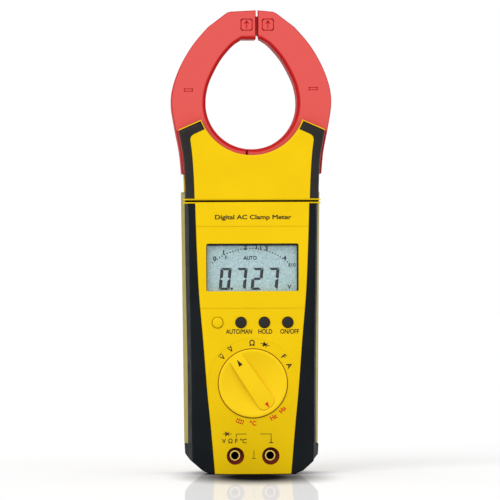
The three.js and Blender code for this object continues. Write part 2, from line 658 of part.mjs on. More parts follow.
// ---------- selector ----------
function buildSelector() {
  const { radius, rim, bowl } = KNOB;
  const selector = new THREE.Group();
  selector.position.set(0, 0, KNOB.z);
  // The pointer stands this far to the left of straight up, seen from the front.
  selector.rotation.y = -THREE.MathUtils.degToRad(KNOB.angle);
  meter.add(selector);

  const top = [[0, rim], [radius - 0.4, rim], [radius, rim + 0.4], [radius, -15.7]];
  const flange = [[20.6, -15.7], [20.6, -14.4], [0, -14.4]];
  const disc = turned([...top, ...flange], 0, 0, 40);
  // One shallow bowl around a straight bar, which is the handle and a little wider at its lower end.
  const ball = (bowl.reach ** 2 + bowl.depth ** 2) / (2 * bowl.depth);
  const surface = Array.from({ length: BOWL_STEPS + 1 }, (_, i) => {
    const distance = bowl.reach * (1 - i / BOWL_STEPS);
    return [distance, rim + bowl.depth - ball + Math.sqrt(ball ** 2 - distance ** 2)];
  });
  const scoop = turned([[0, rim - 1], [bowl.reach, rim - 1], ...surface], 0, 0, 40);
  const handleSide = [v2(1.5, -15.9), v2(3.6, -15.2), v2(4.8, -13.2), v2(4.1, 13.7), v2(4, 17)];
  const hollows = scoop.subtract(plate(mirrored(handleSide), -FAR, FAR));
  const hub = turned([[0, -14.6], [5, -14.6], [5, -12.9], [3.2, -12.9], [3.2, -6.8], [0, -6.8]], 0, 0, 24);
  const ballX = 19.4;
  const pit = (x) => bar(1.7, x, 0, -16.2, 0, 16);
  const pits = pit(ballX).add(pit(-ballX));
  const knob = disc.subtract(hollows).subtract(pits).add(hub);
  add("selector_knob", knob, YELLOW, selector);

  const rotor = turned([[3.5, -12.6], [16, -12.6], [16, -11], [3.5, -11], [3.5, -12.6]], 0, 0, 24);
  add("selector_rotor", rotor, WHITE, selector);
  const finger = (z) => box(6, 14, -10.7, -10.3, z - 1, z + 1).add(box(12.5, 14, -10.5, -9.3, z - 1, z + 1));
  const wiper = box(6, 8, -10.7, -10.3, -6, 6).add(finger(-5)).add(finger(0)).add(finger(5));
  add("selector_wiper", wiper, BRASS, selector);
  for (const [side, name] of [
    [-1, "detent_ball_left"],
    [1, "detent_ball_right"],
  ]) {
    add(name, new THREE.SphereGeometry(1.35, 10, 6).translate(side * ballX, -14.5, 0), STEEL, selector);
  }
}

// ---------- input sockets ----------
function buildSockets() {
  for (const [side, name] of [
    [-1, "left"],
    [1, "right"],
  ]) {
    const x = side * SOCKET.x;
    const { tube, bore, front, rear, mouth, floor } = SOCKET;
    const tubeOutside = [[bore, front], [tube, front], [tube, rear], [0, rear]];
    const tubeInside = [[0, rear - 1], [bore, rear - 1], [bore, front]];
    add(`socket_tube_${name}`, turned([...tubeOutside, ...tubeInside], x, SOCKET.z, 16), BRASS);
    const sleeveOutside = [[mouth, -15.7], [mouth + 0.9, -15.7], [mouth + 0.9, floor + 1]];
    const sleeveInside = [[tube + GAP, floor + 1], [tube + GAP, floor], [mouth, floor], [mouth, -15.7]];
    add(`socket_sleeve_${name}`, turned([...sleeveOutside, ...sleeveInside], x, SOCKET.z, 24), BLACK);
  }
}

// ---------- battery ----------
function buildBattery() {
  const { half, low, high, front, rear } = BATTERY;
  const middle = (front + rear) / 2;
  const terminal = (radius, x) => {
    const stud = new THREE.CylinderGeometry(radius, radius, 3, 16).rotateX(Math.PI / 2);
    return solid(stud.translate(x, middle, high + 0.5));
  };
  const block = box(-half, half, front, rear, low, high);
  add("battery", block.add(terminal(2.8, -6.4)).add(terminal(3.6, 6.4)), CELL);
  add("battery_snap", box(-12.5, 12.5, front + 3, rear - 3, high + 2.3, high + 5.3), BLACK);
  const lead = (side) => {
    const start = new THREE.Vector3(side * 5, middle - 3, high + 5.6);
    const end = new THREE.Vector3(side * 11, BOARD.rear + 0.3, high + 17);
    const rise = new THREE.Vector3(side * 5.5, middle - 3.5, high + 10);
    const bend = new THREE.Vector3(side * 10, -0.5, high + 15.5);
    return wire(new THREE.CatmullRomCurve3([start, rise, bend, end]), 0.8, 9, 6);
  };
  add("battery_lead_red", lead(1), WIRE_RED);
  add("battery_lead_black", lead(-1), WIRE_BLACK);
}

// The coils' leads leave the jaws close to the pivots and run down to the top of the board.
function buildSensingLeads() {
  for (const [side, name] of [
    [-1, "left"],
    [1, "right"],
  ]) {
    const points = [
      [22, 0, 160.4],
      [22.3, 0.5, 154],
      [20, 1.5, 147],
      [17, -1, 141],
      [15, -6.7, 138],
    ].map(([x, y, z]) => new THREE.Vector3(side * x, y, z));
    add(`sensing_lead_${name}`, wire(new THREE.CatmullRomCurve3(points), 0.9, 9, 6), WIRE_BLACK);
  }
}

buildJaw(-1, -(TIP_X - TIP_GAP / 2), -(TAIL_X - TAIL_GAP / 2));
buildJaw(1, TIP_X + TIP_GAP / 2, TAIL_X + TAIL_GAP / 2);
buildReturnSpring();
buildHead();
buildBodyFront();
buildRearCase();
buildBatteryCover();
buildCaseScrews();
buildDisplay();
buildBoard();
buildButtons();
buildSelector();
buildSockets();
buildBattery();
buildSensingLeads();

export default meter;
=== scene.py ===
import math

import bmesh
import bpy
from mathutils import Matrix, Vector


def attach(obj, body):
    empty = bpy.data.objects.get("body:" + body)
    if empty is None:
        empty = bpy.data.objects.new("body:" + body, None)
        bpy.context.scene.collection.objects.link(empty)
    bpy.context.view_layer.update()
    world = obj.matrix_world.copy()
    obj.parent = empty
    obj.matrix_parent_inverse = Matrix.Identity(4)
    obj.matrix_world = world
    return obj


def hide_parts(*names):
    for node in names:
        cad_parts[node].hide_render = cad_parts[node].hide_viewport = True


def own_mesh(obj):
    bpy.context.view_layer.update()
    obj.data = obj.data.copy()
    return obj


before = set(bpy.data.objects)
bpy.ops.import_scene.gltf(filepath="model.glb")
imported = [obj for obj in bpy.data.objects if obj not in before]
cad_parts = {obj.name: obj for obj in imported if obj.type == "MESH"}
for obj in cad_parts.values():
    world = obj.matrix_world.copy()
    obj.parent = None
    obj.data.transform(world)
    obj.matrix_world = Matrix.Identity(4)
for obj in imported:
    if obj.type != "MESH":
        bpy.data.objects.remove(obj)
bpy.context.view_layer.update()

# A hand-held clamp meter. All lengths below are in millimetres and are scaled to metres when a mesh is
# made. X is to the right seen from the front, Y from front to back, and Z up from the base.
MM = 0.001

# ---------- driving dimensions ----------
FRONT = -18.0  # front plane of the case
GRIP = 1.8  # thickness of the soft grip over the hard shell
CLEARANCE = 0.1  # between the grip and the lip beside the seam, and overlap of grip and shell
SPLIT = -2.0  # rear edge of the front pieces
REAR_FRONT = -1.7  # front edge of the rear case
REAR = 20.5
HEAD_REAR = 18.0
COVER_LIP = 12.2  # the head covers reach to this distance from the mid plane
JAW_HALF = 11.5

SEAM_LOW = 146.6  # top of the body front
SEAM_HIGH = 147.65  # bottom of the head cover
BODY_TOP = 147.2  # the body's outlines end inside the seam
LIP = 0.7  # height of the thin lips above and below the seam
LIP_HALF = 36.9
STRIP_TOP = 152.3  # top of the rear case's side walls
BUMPER_TOP = 16.1  # top of the black bumper around the base
FACE_HALF = 32.6  # half width of the front grip's flat face at the base
SIDE_SLOPE = 1.7  # the front grip's side walls lean inwards by this much at their front edge

RING_Z = 199.9  # centre of the round lower half of the conductor opening
RING_RADIUS = 24.7
COVER_ARC = {"z": 200.9, "radius": 29.0, "end": 19.9}  # edge of the head covers around the opening
JAW_TOP = 250.2
JAW_INNER_TOP = 234.7
JAW_FILLET = 2.4  # rounding of a jaw's edge towards the opening
PIVOT_X = 20.0
PIVOT_Z = 169.0
SPRING_Z = 155.5
SPRING_RADIUS = 3.4
SPRING_WIRE = 0.9
SPRING_TURNS = 7
SPRING_REACH = 12.1  # distance from the middle to each end
SPRING_STEPS = 84  # rings of vertices along each half
WIRE_SIDES = 10
TIP_LOW = 237.1  # ribs on the left jaw's tip cover the gap between the pole faces, up to TIP_HIGH
TIP_HIGH = 246.9

WINDOW_HALF = 24.9
WINDOW_LOW = 98.6
WINDOW_HIGH = 124.3
BUTTON_Z = 81.8
BUTTON_PITCH = 12.6
BUTTON_RADIUS = 2.97
KNOB_Z = 49.0
KNOB_RADIUS = 18.45
KNOB_TOP = -18.8
KNOB_SIDES = 128
DIAL_RADIUS = 24.2  # the shallow round recess of the case around the knob
DIAL_DEPTH = 0.12
KNOB_ANGLE = 34.0  # the pointer stands this far to the left of straight up
SOCKET_X = 9.52
SOCKET_Z = 9.9
SOCKET_MOUTH = 4.75
PANEL_DEPTH = 3  # how far the yellow panel reaches back between the grip's two sides
PANEL_GROOVES = (89.4, 133.5)  # heights of the fine lines across the yellow face
COVER_HALF = 17.0  # battery cover
COVER_LOW = 19.0
COVER_HIGH = 82.0
COVER_SCREW_Z = COVER_HIGH - 4.5

SCREW_DEPTH = 2.4
SCREWS = {  # x and z, and the y of the head's rear face
    "case_screw_lower_left": (-26.0, 21.0, REAR - SCREW_DEPTH),
    "case_screw_lower_right": (26.0, 21.0, REAR - SCREW_DEPTH),
    "case_screw_upper_left": (-28.0, 139.0, REAR - SCREW_DEPTH),
    "case_screw_upper_right": (28.0, 139.0, REAR - SCREW_DEPTH),
    "head_screw_left": (-30.5, 151.2, HEAD_REAR - SCREW_DEPTH),
    "head_screw_right": (30.5, 151.2, HEAD_REAR - SCREW_DEPTH),
    "battery_cover_screw": (0.0, COVER_SCREW_Z, REAR - 0.4),
}
SCREW_SLOTS = ((1.6, 0.3), (0.3, 1.6))  # half width and half height of the two crossed slots


# ---------- outlines: lists of (x, z) in millimetres, counter-clockwise seen from the front ----------
def spline(points, steps):
    """A smooth curve through the points, with that many steps between each two."""
    ends = [points[0], *points, points[-1]]
    curve = []
    for i in range(len(points) - 1):
        p0, p1, p2, p3 = (Vector(p) for p in ends[i : i + 4])
        for k in range(steps):
            t = k / steps
            v0 = (p2 - p0) / 2
            v1 = (p3 - p1) / 2
            cubic = 2 * p1 - 2 * p2 + v0 + v1
            square = -3 * p1 + 3 * p2 - 2 * v0 - v1
            curve.append(tuple(cubic * t**3 + square * t**2 + v0 * t + p1))
    return [*curve, tuple(points[-1])]


def mirrored(right_side):
    return [*right_side, *[(-x, z) for x, z in reversed(right_side)]]


def flipped(outline):
    """The outline's mirror image, still counter-clockwise."""
    return [(-x, z) for x, z in reversed(outline)]


def arc(radius, start, end, steps, centre=(0.0, RING_Z)):
    points = []
    for i in range(steps + 1):
        angle = math.radians(start + (end - start) * i / steps)
        points.append((centre[0] + radius * math.cos(angle), centre[1] + radius * math.sin(angle)))
    return points


def circle(radius, x, z, sides=64):
    return arc(radius, 0, 360, sides, (x, z))[:-1]


def inset(outline, distance):
    """Every side moved inwards. A negative distance grows the outline."""
    moved = []
    for i, point in enumerate(outline):
        here = Vector(point)
        incoming = (here - Vector(outline[i - 1])).normalized()
        outgoing = (Vector(outline[(i + 1) % len(outline)]) - here).normalized()
        bisector = Vector((-incoming.y - outgoing.y, incoming.x + outgoing.x))
        moved.append(tuple(here + bisector * (2 * distance / bisector.length_squared)))
    return moved


def rounded(outline, radius, steps=6):
    """The outline with its corners rounded. A short side limits the rounding at its ends."""
    result = []
    for i, point in enumerate(outline):
        here = Vector(point)
        before = Vector(outline[i - 1]) - here
        after = Vector(outline[(i + 1) % len(outline)]) - here
        reach = min(radius, before.length * 0.45, after.length * 0.45)
        start = here + before.normalized() * reach
        end = here + after.normalized() * reach
        for k in range(steps + 1):
            t = k / steps
            result.append(tuple(start * (1 - t) ** 2 + here * 2 * t * (1 - t) + end * t**2))
    return result


def rect(half, low, high, radius=0.0):
    outline = mirrored([(half, low), (half, high)])
    return rounded(outline, radius) if radius else outline


def lower_corner(half):
    return [(10.0, 0.0), (22.6, 0.1), (27.2, 2.1), (half - 2.4, 7.1), (half, 10.3)]


def grip_outline():
    """Front half of the body: full width at the base, and narrower than the rear half above it."""
    side = spline([(34.6, 17.5), (34.8, 60), (35.5, 100), (36.1, BODY_TOP)], 6)
    return mirrored([*lower_corner(35.8), (35.9, BUMPER_TOP - 0.3), (34.6, BUMPER_TOP), *side])


def rear_outline():
    side = spline([(36.2, 17.5), (36.6, 58), (37.1, 110), (37.6, STRIP_TOP)], 6)
    return mirrored([*lower_corner(35.8), *side])


def panel_outline():
    """The yellow front face, which widens towards the top."""
    side = [(20.6, 0.3), (22.6, 24), (24.7, 46), (26.7, 72), (28.9, 98), (30.1, 124), (30.8, BODY_TOP)]
    return mirrored([(10.0, 0.15), *spline(side, 4)])


def head_outline(bottom):
    side = [(36, bottom), (36, 154), (36.4, 167), (37.3, 174), (38.7, 182), (39.4, 185.8)]
    end = COVER_ARC["end"]
    edge = arc(COVER_ARC["radius"], -end, end - 180, 60, (0.0, COVER_ARC["z"]))
    return [*side, *edge, *[(-x, z) for x, z in reversed(side)]]


def head_grip_zone():
    """The L-shaped strip of the head's front that the right-hand soft grip covers."""
    low = SEAM_HIGH + LIP + CLEARANCE
    upper = [(39.1, 185.3), (27.7, 190.3), (25.5, 185.8), (31.2, 183.2)]
    inner = spline([(31.2, 183.2), (32.7, 182.0), (33.2, 180.2)], 5)[1:]
    side = spline([(33.2, 180.2), (32.2, 172), (31.4, 160), (31.0, low)], 5)[1:]
    return [(45, low), (45, 182.7), *upper, *inner, *side]


def jaw_outline(tip_x, tail_x):
    """The right jaw, from the end of its tail round the lever, the outside, the tip and the inside."""
    lever = [(37.65, 162), (38.75, 173.5), (41.3, 187)]
    outer = [*lever, (43.1, 199), (42.15, 209), (38, 220.5), (31.5, 231.6), (23.4, 241.1)]
    inner = [(8.3, 232.6), (11.8, 229.2), (17.1, 222.4), (22.3, 212.3), (24.3, 205), (RING_RADIUS, RING_Z)]
    tail_angle = math.degrees(math.acos(tail_x / RING_RADIUS))
    tail = [(tail_x, 167.8), (13, 161.2), (13, 151.5), (17, 151.5), (17, 162.1), (22, 161.4), (27.5, 164.2)]
    notch = [(31, 169), (32.4, 169), (32, 162)]
    crown = [*spline(outer, 6), *spline([(13.9, 248.3), (12.5, 249.1), (10.9, 249.5)], 3)]
    tip = [(tip_x, JAW_TOP), (tip_x, JAW_INNER_TOP), (5, JAW_INNER_TOP)]
    return [*tail, *notch, *crown, *tip, *spline(inner, 6), *arc(RING_RADIUS, 0, -tail_angle, 40)[1:]]


# ---------- meshes ----------
def add_object(name, data):
    added = bpy.data.objects.new(name, data)
    bpy.context.scene.collection.objects.link(added)
    return added


def new_object(name, bm):
    mesh = bpy.data.meshes.new(name)
    bm.to_mesh(mesh)
    bm.free()
    return add_object(name, mesh)


def final_mesh(piece):
    depsgraph = bpy.context.evaluated_depsgraph_get()
    return bpy.data.meshes.new_from_object(piece.evaluated_get(depsgraph))


def baked(piece):
    """The piece with its modifiers turned into plain mesh."""
    mesh = final_mesh(piece)
    piece.modifiers.clear()
    piece.data = mesh
    return piece


def skin(bm, loops):
    """A closed body through loops of equally many vertices."""
    bm.faces.new(loops[0])
    bm.faces.new(list(reversed(loops[-1])))
    count = len(loops[0])
    for front, back in zip(loops, loops[1:]):
        for i in range(count):
            j = (i + 1) % count
            bm.faces.new((front[j], front[i], back[i], back[j]))
    bmesh.ops.recalc_face_normals(bm, faces=bm.faces)


def loft(name, rings):
    """A closed body through outlines with equally many points. rings is a list of (y, outline)."""
    bm = bmesh.new()
    loops = [[bm.verts.new((x * MM, y * MM, z * MM)) for x, z in outline] for y, outline in rings]
    skin(bm, loops)
    return new_object(name, bm)


def solid(name, outline, y0, y1, front=0.0, back=0.0, segments=5):
    """An outline extruded from y0 to y1. front and back are the radii of the rounded edges there:
    a number, or a function of the place of an edge's middle, in millimetres."""
    return round_rims(loft(name, [(y0, outline), (y1, outline)]), y0, y1, front, back, segments)


def rim_radii(mesh, rims):
    """The wanted rounding of every edge. rims is a list of (y, radius)."""
    radii = []
    for edge in mesh.edges:
        a, b = (mesh.vertices[i].co / MM for i in edge.vertices)
        middle = (a + b) / 2
        radius = 0.0
        for y, wanted in rims:
            if abs(a.y - y) < 1e-3 and abs(b.y - y) < 1e-3:
                radius = wanted(middle.x, middle.z) if callable(wanted) else wanted
        radii.append(radius)
    return radii


def round_rims(piece, y0, y1, front, back, segments):
    """Rounds the edges that lie in the planes y0 and y1."""
    radii = rim_radii(piece.data, ((y0, front), (y1, back)))
    largest = max(radii)
    if largest == 0:
        return piece
    attribute = piece.data.attributes.new("bevel_weight_edge", "FLOAT", "EDGE")
    for i, radius in enumerate(radii):
        attribute.data[i].value = radius / largest
    bevel = piece.modifiers.new("rounding", "BEVEL")
    bevel.limit_method = "WEIGHT"
    bevel.width = largest * MM
    bevel.segments = segments
    bevel.use_clamp_overlap = False
    return baked(piece)


def combine(piece, tools, operation):
    for tool in tools:
        modifier = piece.modifiers.new("boolean", "BOOLEAN")
        modifier.operation = operation
        modifier.solver = "EXACT"
        modifier.object = tool
    baked(piece)
    for tool in tools:
        bpy.data.objects.remove(tool)
    return piece


def cut(piece, *tools):
    return combine(piece, tools, "DIFFERENCE")


def join(piece, *tools):
    return combine(piece, tools, "UNION")


def keep(piece, tool):
    return combine(piece, [tool], "INTERSECT")


def box(name, x0, x1, y0, y1, z0, z1, bevel=0.0):
    outline = [(x0, z0), (x1, z0), (x1, z1), (x0, z1)]
    piece = loft(name, [(y0, outline), (y1, outline)])
    if bevel:
        modifier = piece.modifiers.new("rounding", "BEVEL")
        modifier.width = bevel * MM
        modifier.segments = 3
        baked(piece)
    return piece


def slab(y0, y1, z0, z1):
    """A block wider than the meter, for keeping what lies between two heights."""
    return box("slab", -60, 60, y0, y1, z0, z1)


def bar(name, radius, x, z, y0, y1, sides=64):
    return solid(name, circle(radius, x, z, sides), y0, y1)


def turned(name, profile, x, z, sides=64):
    """A closed body turned about a line along Y through (x, z). The profile is a list of (radius, y)."""
    bm = bmesh.new()
    rings = []
    for radius, y in profile:
        if radius == 0:
            rings.append([bm.verts.new((x * MM, y * MM, z * MM))])
            continue
        ring = [bm.verts.new((px * MM, y * MM, pz * MM)) for px, pz in circle(radius, x, z, sides)]
        rings.append(ring)
    closed = rings[1:] if profile[0][0] == 0 else [*rings[1:], rings[0]]
    for one, other in zip(rings, closed):
        for i in range(sides):
            j = (i + 1) % sides
            corners = [one[i % len(one)], one[j % len(one)], other[j % len(other)], other[i % len(other)]]
            corners = [v for k, v in enumerate(corners) if v not in corners[:k]]
            if len(corners) > 2:
                bm.faces.new(corners)
    bmesh.ops.recalc_face_normals(bm, faces=bm.faces)
    return new_object(name, bm)


def smooth_shading(piece, degrees=32):
    """Smooth faces with sharp edges where the surface turns, and flat faces kept flat."""
    bm = bmesh.new()
    bm.from_mesh(piece.data)
    bmesh.ops.remove_doubles(bm, verts=bm.verts, dist=1e-7)
    for face in bm.faces:
        face.smooth = True
    for edge in bm.edges:
        edge.smooth = edge.calc_face_angle(0.0) < math.radians(degrees)
    bm.to_mesh(piece.data)
    bm.free()
    modifier = piece.modifiers.new("even shading", "WEIGHTED_NORMAL")
    modifier.keep_sharp = True


def finish_piece(piece, material, stands_for=(), body="root"):
    """Gives a piece its material and shading, and lets it ride on a body in place of CAD nodes."""
    piece.data.materials.clear()
    piece.data.materials.append(material)
    if piece.type == "MESH":
        smooth_shading(piece)
    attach(piece, body)
    if stands_for:
        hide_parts(*stands_for)
    return piece


# ---------- materials ----------
def srgb(color):
    """An 8-bit screen colour as the linear colour that shaders use."""
    linear = []
    for value in color:
        value /= 255
        linear.append(value / 12.92 if value <= 0.04045 else ((value + 0.055) / 1.055) ** 2.4)
    return (*linear, 1.0)


PATTERN_RANGE = (0.3, 0.7)  # most of a noise pattern's values lie in this range
PLASTIC = (2600, 0.012)  # a fine grain: cycles per metre, and relief in millimetres


def main_inputs(material):
    return material.node_tree.nodes["Principled BSDF"].inputs


def shader(name, **values):
    """A new material. Every value is for an input of its main shader, named with underscores."""
    material = bpy.data.materials.new(name)
    material.use_nodes = True
    for key, value in values.items():
        main_inputs(material)[key.replace("_", " ")].default_value = value
    return material


def add_node(material, kind, values=()):
    """A new shader node. values is a list of (input, value)."""
    node = material.node_tree.nodes.new(f"ShaderNode{kind}")
    for name, value in values:
        node.inputs[name].default_value = value
    return node


def connect(source, target):
    target.id_data.links.new(source, target)


def noise(material, scale, detail=3.0):
    """A noise pattern in the object's own coordinates. scale is in cycles per metre."""
    coordinates = add_node(material, "TexCoord")
    pattern = add_node(material, "TexNoise", [("Scale", scale), ("Detail", detail)])
    connect(coordinates.outputs["Object"], pattern.inputs["Vector"])
    return pattern.outputs["Fac"]


def gloss(material, source, low, high):
    """Varies the roughness between low and high with the pattern."""
    least, most = PATTERN_RANGE
    values = [("From Min", least), ("From Max", most), ("To Min", low), ("To Max", high)]
    fit = add_node(material, "MapRange", values)
    connect(source, fit.inputs["Value"])
    connect(fit.outputs["Result"], main_inputs(material)["Roughness"])


def tint(material, source, stops, colors):
    """Colours the surface from one colour to another as the source goes from stop to stop."""
    ramp = add_node(material, "ValToRGB")
    for element, stop, color in zip(ramp.color_ramp.elements, stops, colors):
        element.position = stop
        element.color = color
    connect(source, ramp.inputs["Fac"])
    connect(ramp.outputs["Color"], main_inputs(material)["Base Color"])


def bump(material, source, height):
    """Raises the surface by the pattern. height is in millimetres."""
    relief = add_node(material, "Bump", [("Strength", 1.0), ("Distance", height * MM)])
    connect(source, relief.inputs["Height"])
    connect(relief.outputs["Normal"], main_inputs(material)["Normal"])


def moulded(name, dark, light, roughness, grain, height, specular=0.5, patches=45):
    """Moulded plastic or rubber: slow colour changes, uneven gloss and a fine eroded grain."""
    material = shader(name, Specular_IOR_Level=specular)
    tint(material, noise(material, patches), PATTERN_RANGE, (srgb(dark), srgb(light)))
    gloss(material, noise(material, 160), *roughness)
    bump(material, noise(material, grain, 4.0), height)
    return material


def two_tone(name, face, side, turn, roughness, specular):
    """Plastic with painted light by facing: one colour where it faces the front or the back, and a painted
    shade on its sides.
    turn is the pair of |Y| of the normal between which the colour changes."""
    material = moulded(name, face, face, roughness, 2600, 0.014, specular)
    geometry = add_node(material, "NewGeometry")
    axes = add_node(material, "SeparateXYZ")
    facing = add_node(material, "Math")
    facing.operation = "ABSOLUTE"
    connect(geometry.outputs["Normal"], axes.inputs["Vector"])
    connect(axes.outputs["Y"], facing.inputs[0])
    tint(material, facing.outputs["Value"], turn, (srgb(side), srgb(face)))
    return material


def metal(name, color, roughness, brush):
    material = shader(name, Metallic=1.0, Specular_IOR_Level=0.5, Base_Color=srgb(color))
    gloss(material, noise(material, brush), *roughness)
    bump(material, noise(material, brush * 3), 0.004)
    return material


def printed(name, color):
    """Screen printing ink, and flat painted shade in gaps and engraved lines: one colour, slightly uneven.
    """
    material = shader(name, Specular_IOR_Level=0.2, Roughness=0.5)
    color = srgb(color)
    lighter = (*(min(1.0, channel * 1.2) for channel in color[:3]), 1.0)
    tint(material, noise(material, 900), PATTERN_RANGE, (color, lighter))
    return material


def clear_pane():
    material = shader("clear pane", Base_Color=srgb((160, 170, 172)), Specular_IOR_Level=0.1, Alpha=0.04)
    gloss(material, noise(material, 90), 0.05, 0.1)
    return material


def banded(name, dark, light, period, axis, metallic, roughness):
    """Fine parallel bands, such as sheets in a core, turns in a coil or copper in a lead."""
    material = shader(name, Metallic=metallic, Specular_IOR_Level=0.5, Roughness=roughness)
    coordinates = add_node(material, "TexCoord")
    wave = add_node(material, "TexWave", [("Scale", 0.314 / (period * MM)), ("Distortion", 0.6)])
    wave.bands_direction = axis
    connect(coordinates.outputs["Object"], wave.inputs["Vector"])
    tint(material, wave.outputs["Fac"], PATTERN_RANGE, (srgb(dark), srgb(light)))
    bump(material, wave.outputs["Fac"], 0.08)
    return material


YELLOW = moulded("yellow plastic", (209, 173, 2), (214, 178, 3), (0.4, 0.5), *PLASTIC, 0.06)
KNOB_YELLOW = moulded("knob plastic", (219, 182, 8), (224, 187, 10), (0.35, 0.45), *PLASTIC, 0.1)
# The rear case's sides get a khaki painted shade. Where it faces the back or the front it keeps the plain
# yellow.
REAR_YELLOW = two_tone("rear plastic", (207, 171, 2), (150, 136, 54), (0.35, 0.7), (0.4, 0.5), 0.06)
# The jaws' front and rear faces get a lighter, pinker red as painted sheen, and their roundings and sides a
# deep red as painted shade.
RED = two_tone("red plastic", (198, 75, 71), (168, 8, 12), (0.93, 0.998), (0.5, 0.6), 0.15)
GRIP_BLACK = moulded("soft grip", (15, 19, 22), (20, 24, 27), (0.55, 0.7), 1800, 0.03, 0.06)
HEAD_BLACK = moulded("head grip", (28, 27, 25), (35, 33, 30), (0.45, 0.6), 1800, 0.03, 0.15)
BLACK = moulded("black plastic", (28, 26, 25), (36, 33, 31), (0.42, 0.52), *PLASTIC, 0.15)
# A near-black for painted shade: in the head's seam, inside the sockets and along the display window's
# edges.
SHADE_BLACK = moulded("dark inside", (6, 5, 5), (10, 9, 8), (0.8, 0.9), *PLASTIC, 0.0)
BROWN = moulded("socket insulator", (150, 50, 24), (164, 58, 30), (0.4, 0.5), *PLASTIC, 0.2)
WHITE = moulded("white plastic", (190, 190, 182), (204, 204, 198), (0.4, 0.5), *PLASTIC)
BOARD = moulded("board green", (18, 78, 38), (26, 98, 50), (0.3, 0.4), 1200, 0.01)
CONTACT = moulded("contact rubber", (78, 82, 86), (92, 96, 100), (0.6, 0.7), 1200, 0.02)
DISPLAY = moulded("display glass", (132, 158, 163), (172, 196, 200), (0.3, 0.4), 3000, 0.002, 0.1, 1500)
LABEL = moulded("battery sleeve", (40, 52, 96), (48, 62, 110), (0.28, 0.36), 900, 0.01)
RED_WIRE = moulded("red insulation", (176, 26, 24), (190, 34, 30), (0.4, 0.5), 2000, 0.01)
BLACK_WIRE = moulded("black insulation", (14, 14, 16), (20, 20, 22), (0.4, 0.5), 2000, 0.01, 0.2)
STEEL = metal("plated steel", (190, 192, 196), (0.24, 0.38), 1500)
GOLD = metal("gold plating", (255, 214, 104), (0.18, 0.3), 1500)
CORE = banded("laminated core", (90, 92, 96), (132, 134, 140), 0.5, "Y", 0.9, 0.42)
COIL = banded("enamelled winding", (150, 72, 30), (200, 112, 56), 0.35, "Z", 0.9, 0.35)
INK = printed("dark print", (38, 22, 4))
RED_INK = printed("red print", (186, 38, 2))
SEGMENT = printed("display segment", (14, 20, 24))
# A deep red that stands for the shade in engraved lines: painted shade.
ENGRAVING_SHADE = printed("engraved line", (162, 4, 12))
GAP_RED = printed("shaded red gap", (122, 0, 3))
POINTER = printed("pointer ink", (30, 24, 4))
GAP_BROWN = printed("shaded gap", (96, 10, 0))
PANE = clear_pane()


# ---------- jaws ----------
def fillet_inside(x, z):
    """Large rounding towards the opening, small everywhere else."""
    towards_opening = z > 174 and math.hypot(x, z - RING_Z) < 36
    return JAW_FILLET if towards_opening else 0.5


def lever_grooves(side, y):
    """Two long grooves beside the lever's outer edge, where the finger presses it."""
    grooves = []
    for offset in (0.55, 1.5):
        outer = [(37.65 - offset, 161), (38.75 - offset, 173.5), (40.9 - offset, 185)]
        outline = [*outer, *[(x - 0.45, z) for x, z in reversed(outer)]]
        outline = flipped(outline) if side < 0 else outline
        grooves.append(solid("groove", outline, y - 1.0, y + 1.0))
    return grooves


def tip_notches(tip_x):
    """Room in the right jaw's tip, below and above the ribs of the left jaw."""
    spans = ((233, TIP_LOW), (TIP_HIGH, 252))
    return [box("notch", tip_x - 1, tip_x + 1.1, -9.8, 20, low, high) for low, high in spans]


def build_jaw(side, tip_x, tail_x):
    """The front and the rear shell of a jaw, with ribs at the left tip and notches at the right one."""
    body = "jaw_left" if side < 0 else "jaw_right"
    outline = jaw_outline(tip_x, tail_x)
    outline = flipped(outline) if side < 0 else outline
    for half, y0, y1, face, front, back, rib in (
        ("front", -JAW_HALF, -0.05, -JAW_HALF, fillet_inside, 0.15, (-10.4, -6.6)),
        ("rear", 0.25, JAW_HALF, JAW_HALF, 0.15, fillet_inside, (6.6, 10.4)),
    ):
        shell = solid(f"{body}_{half}_half", outline, y0, y1, front, back, segments=6)
        cut(shell, bar("pin_hole", 2.8, side * PIVOT_X, PIVOT_Z, -30, 30, 32))
        cut(shell, *lever_grooves(side, face))
        if side < 0:
            join(shell, box("shield", -tip_x - 1, -tip_x + 0.7, *rib, TIP_LOW, TIP_HIGH))
        else:
            cut(shell, *tip_notches(tip_x))
        finish_piece(shell, RED, [f"{body}_{half}_shell"], body)


def build_tip_line():
    """The shaded bottom of the gap between the tips."""
    line = box("jaw_tip_line", 2.55, 3.42, -10.8, -10.45, TIP_LOW + 0.05, TIP_HIGH - 0.05)
    finish_piece(line, GAP_RED, body="jaw_left")


def wire_ring(bm, side, share):
    """A round section of the spring's wire, at a share of the length of one half."""
    angle = math.pi * SPRING_TURNS * share
    ring = []
    for k in range(WIRE_SIDES):
        around = 2 * math.pi * k / WIRE_SIDES
        radius = SPRING_RADIUS + SPRING_WIRE / 2 * math.cos(around)
        x = side * SPRING_REACH * share + SPRING_WIRE / 2 * math.sin(around)
        z = SPRING_Z + side * radius * math.sin(angle)
        ring.append(bm.verts.new((x * MM, radius * math.cos(angle) * MM, z * MM)))
    return ring


def build_half_spring(side):
    """Half of the coil between the two levers."""
    side_name = "left" if side < 0 else "right"
    bm = bmesh.new()
    skin(bm, [wire_ring(bm, side, i / SPRING_STEPS) for i in range(SPRING_STEPS + 1)])
    half = new_object(f"return_spring_{side_name}_half", bm)
    finish_piece(half, STEEL, ["jaw_return_spring"])
    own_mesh(half)


build_jaw(-1, -2.5, 2.8)
build_jaw(1, 3.5, -2.3)
build_tip_line()
build_half_spring(-1)
build_half_spring(1)


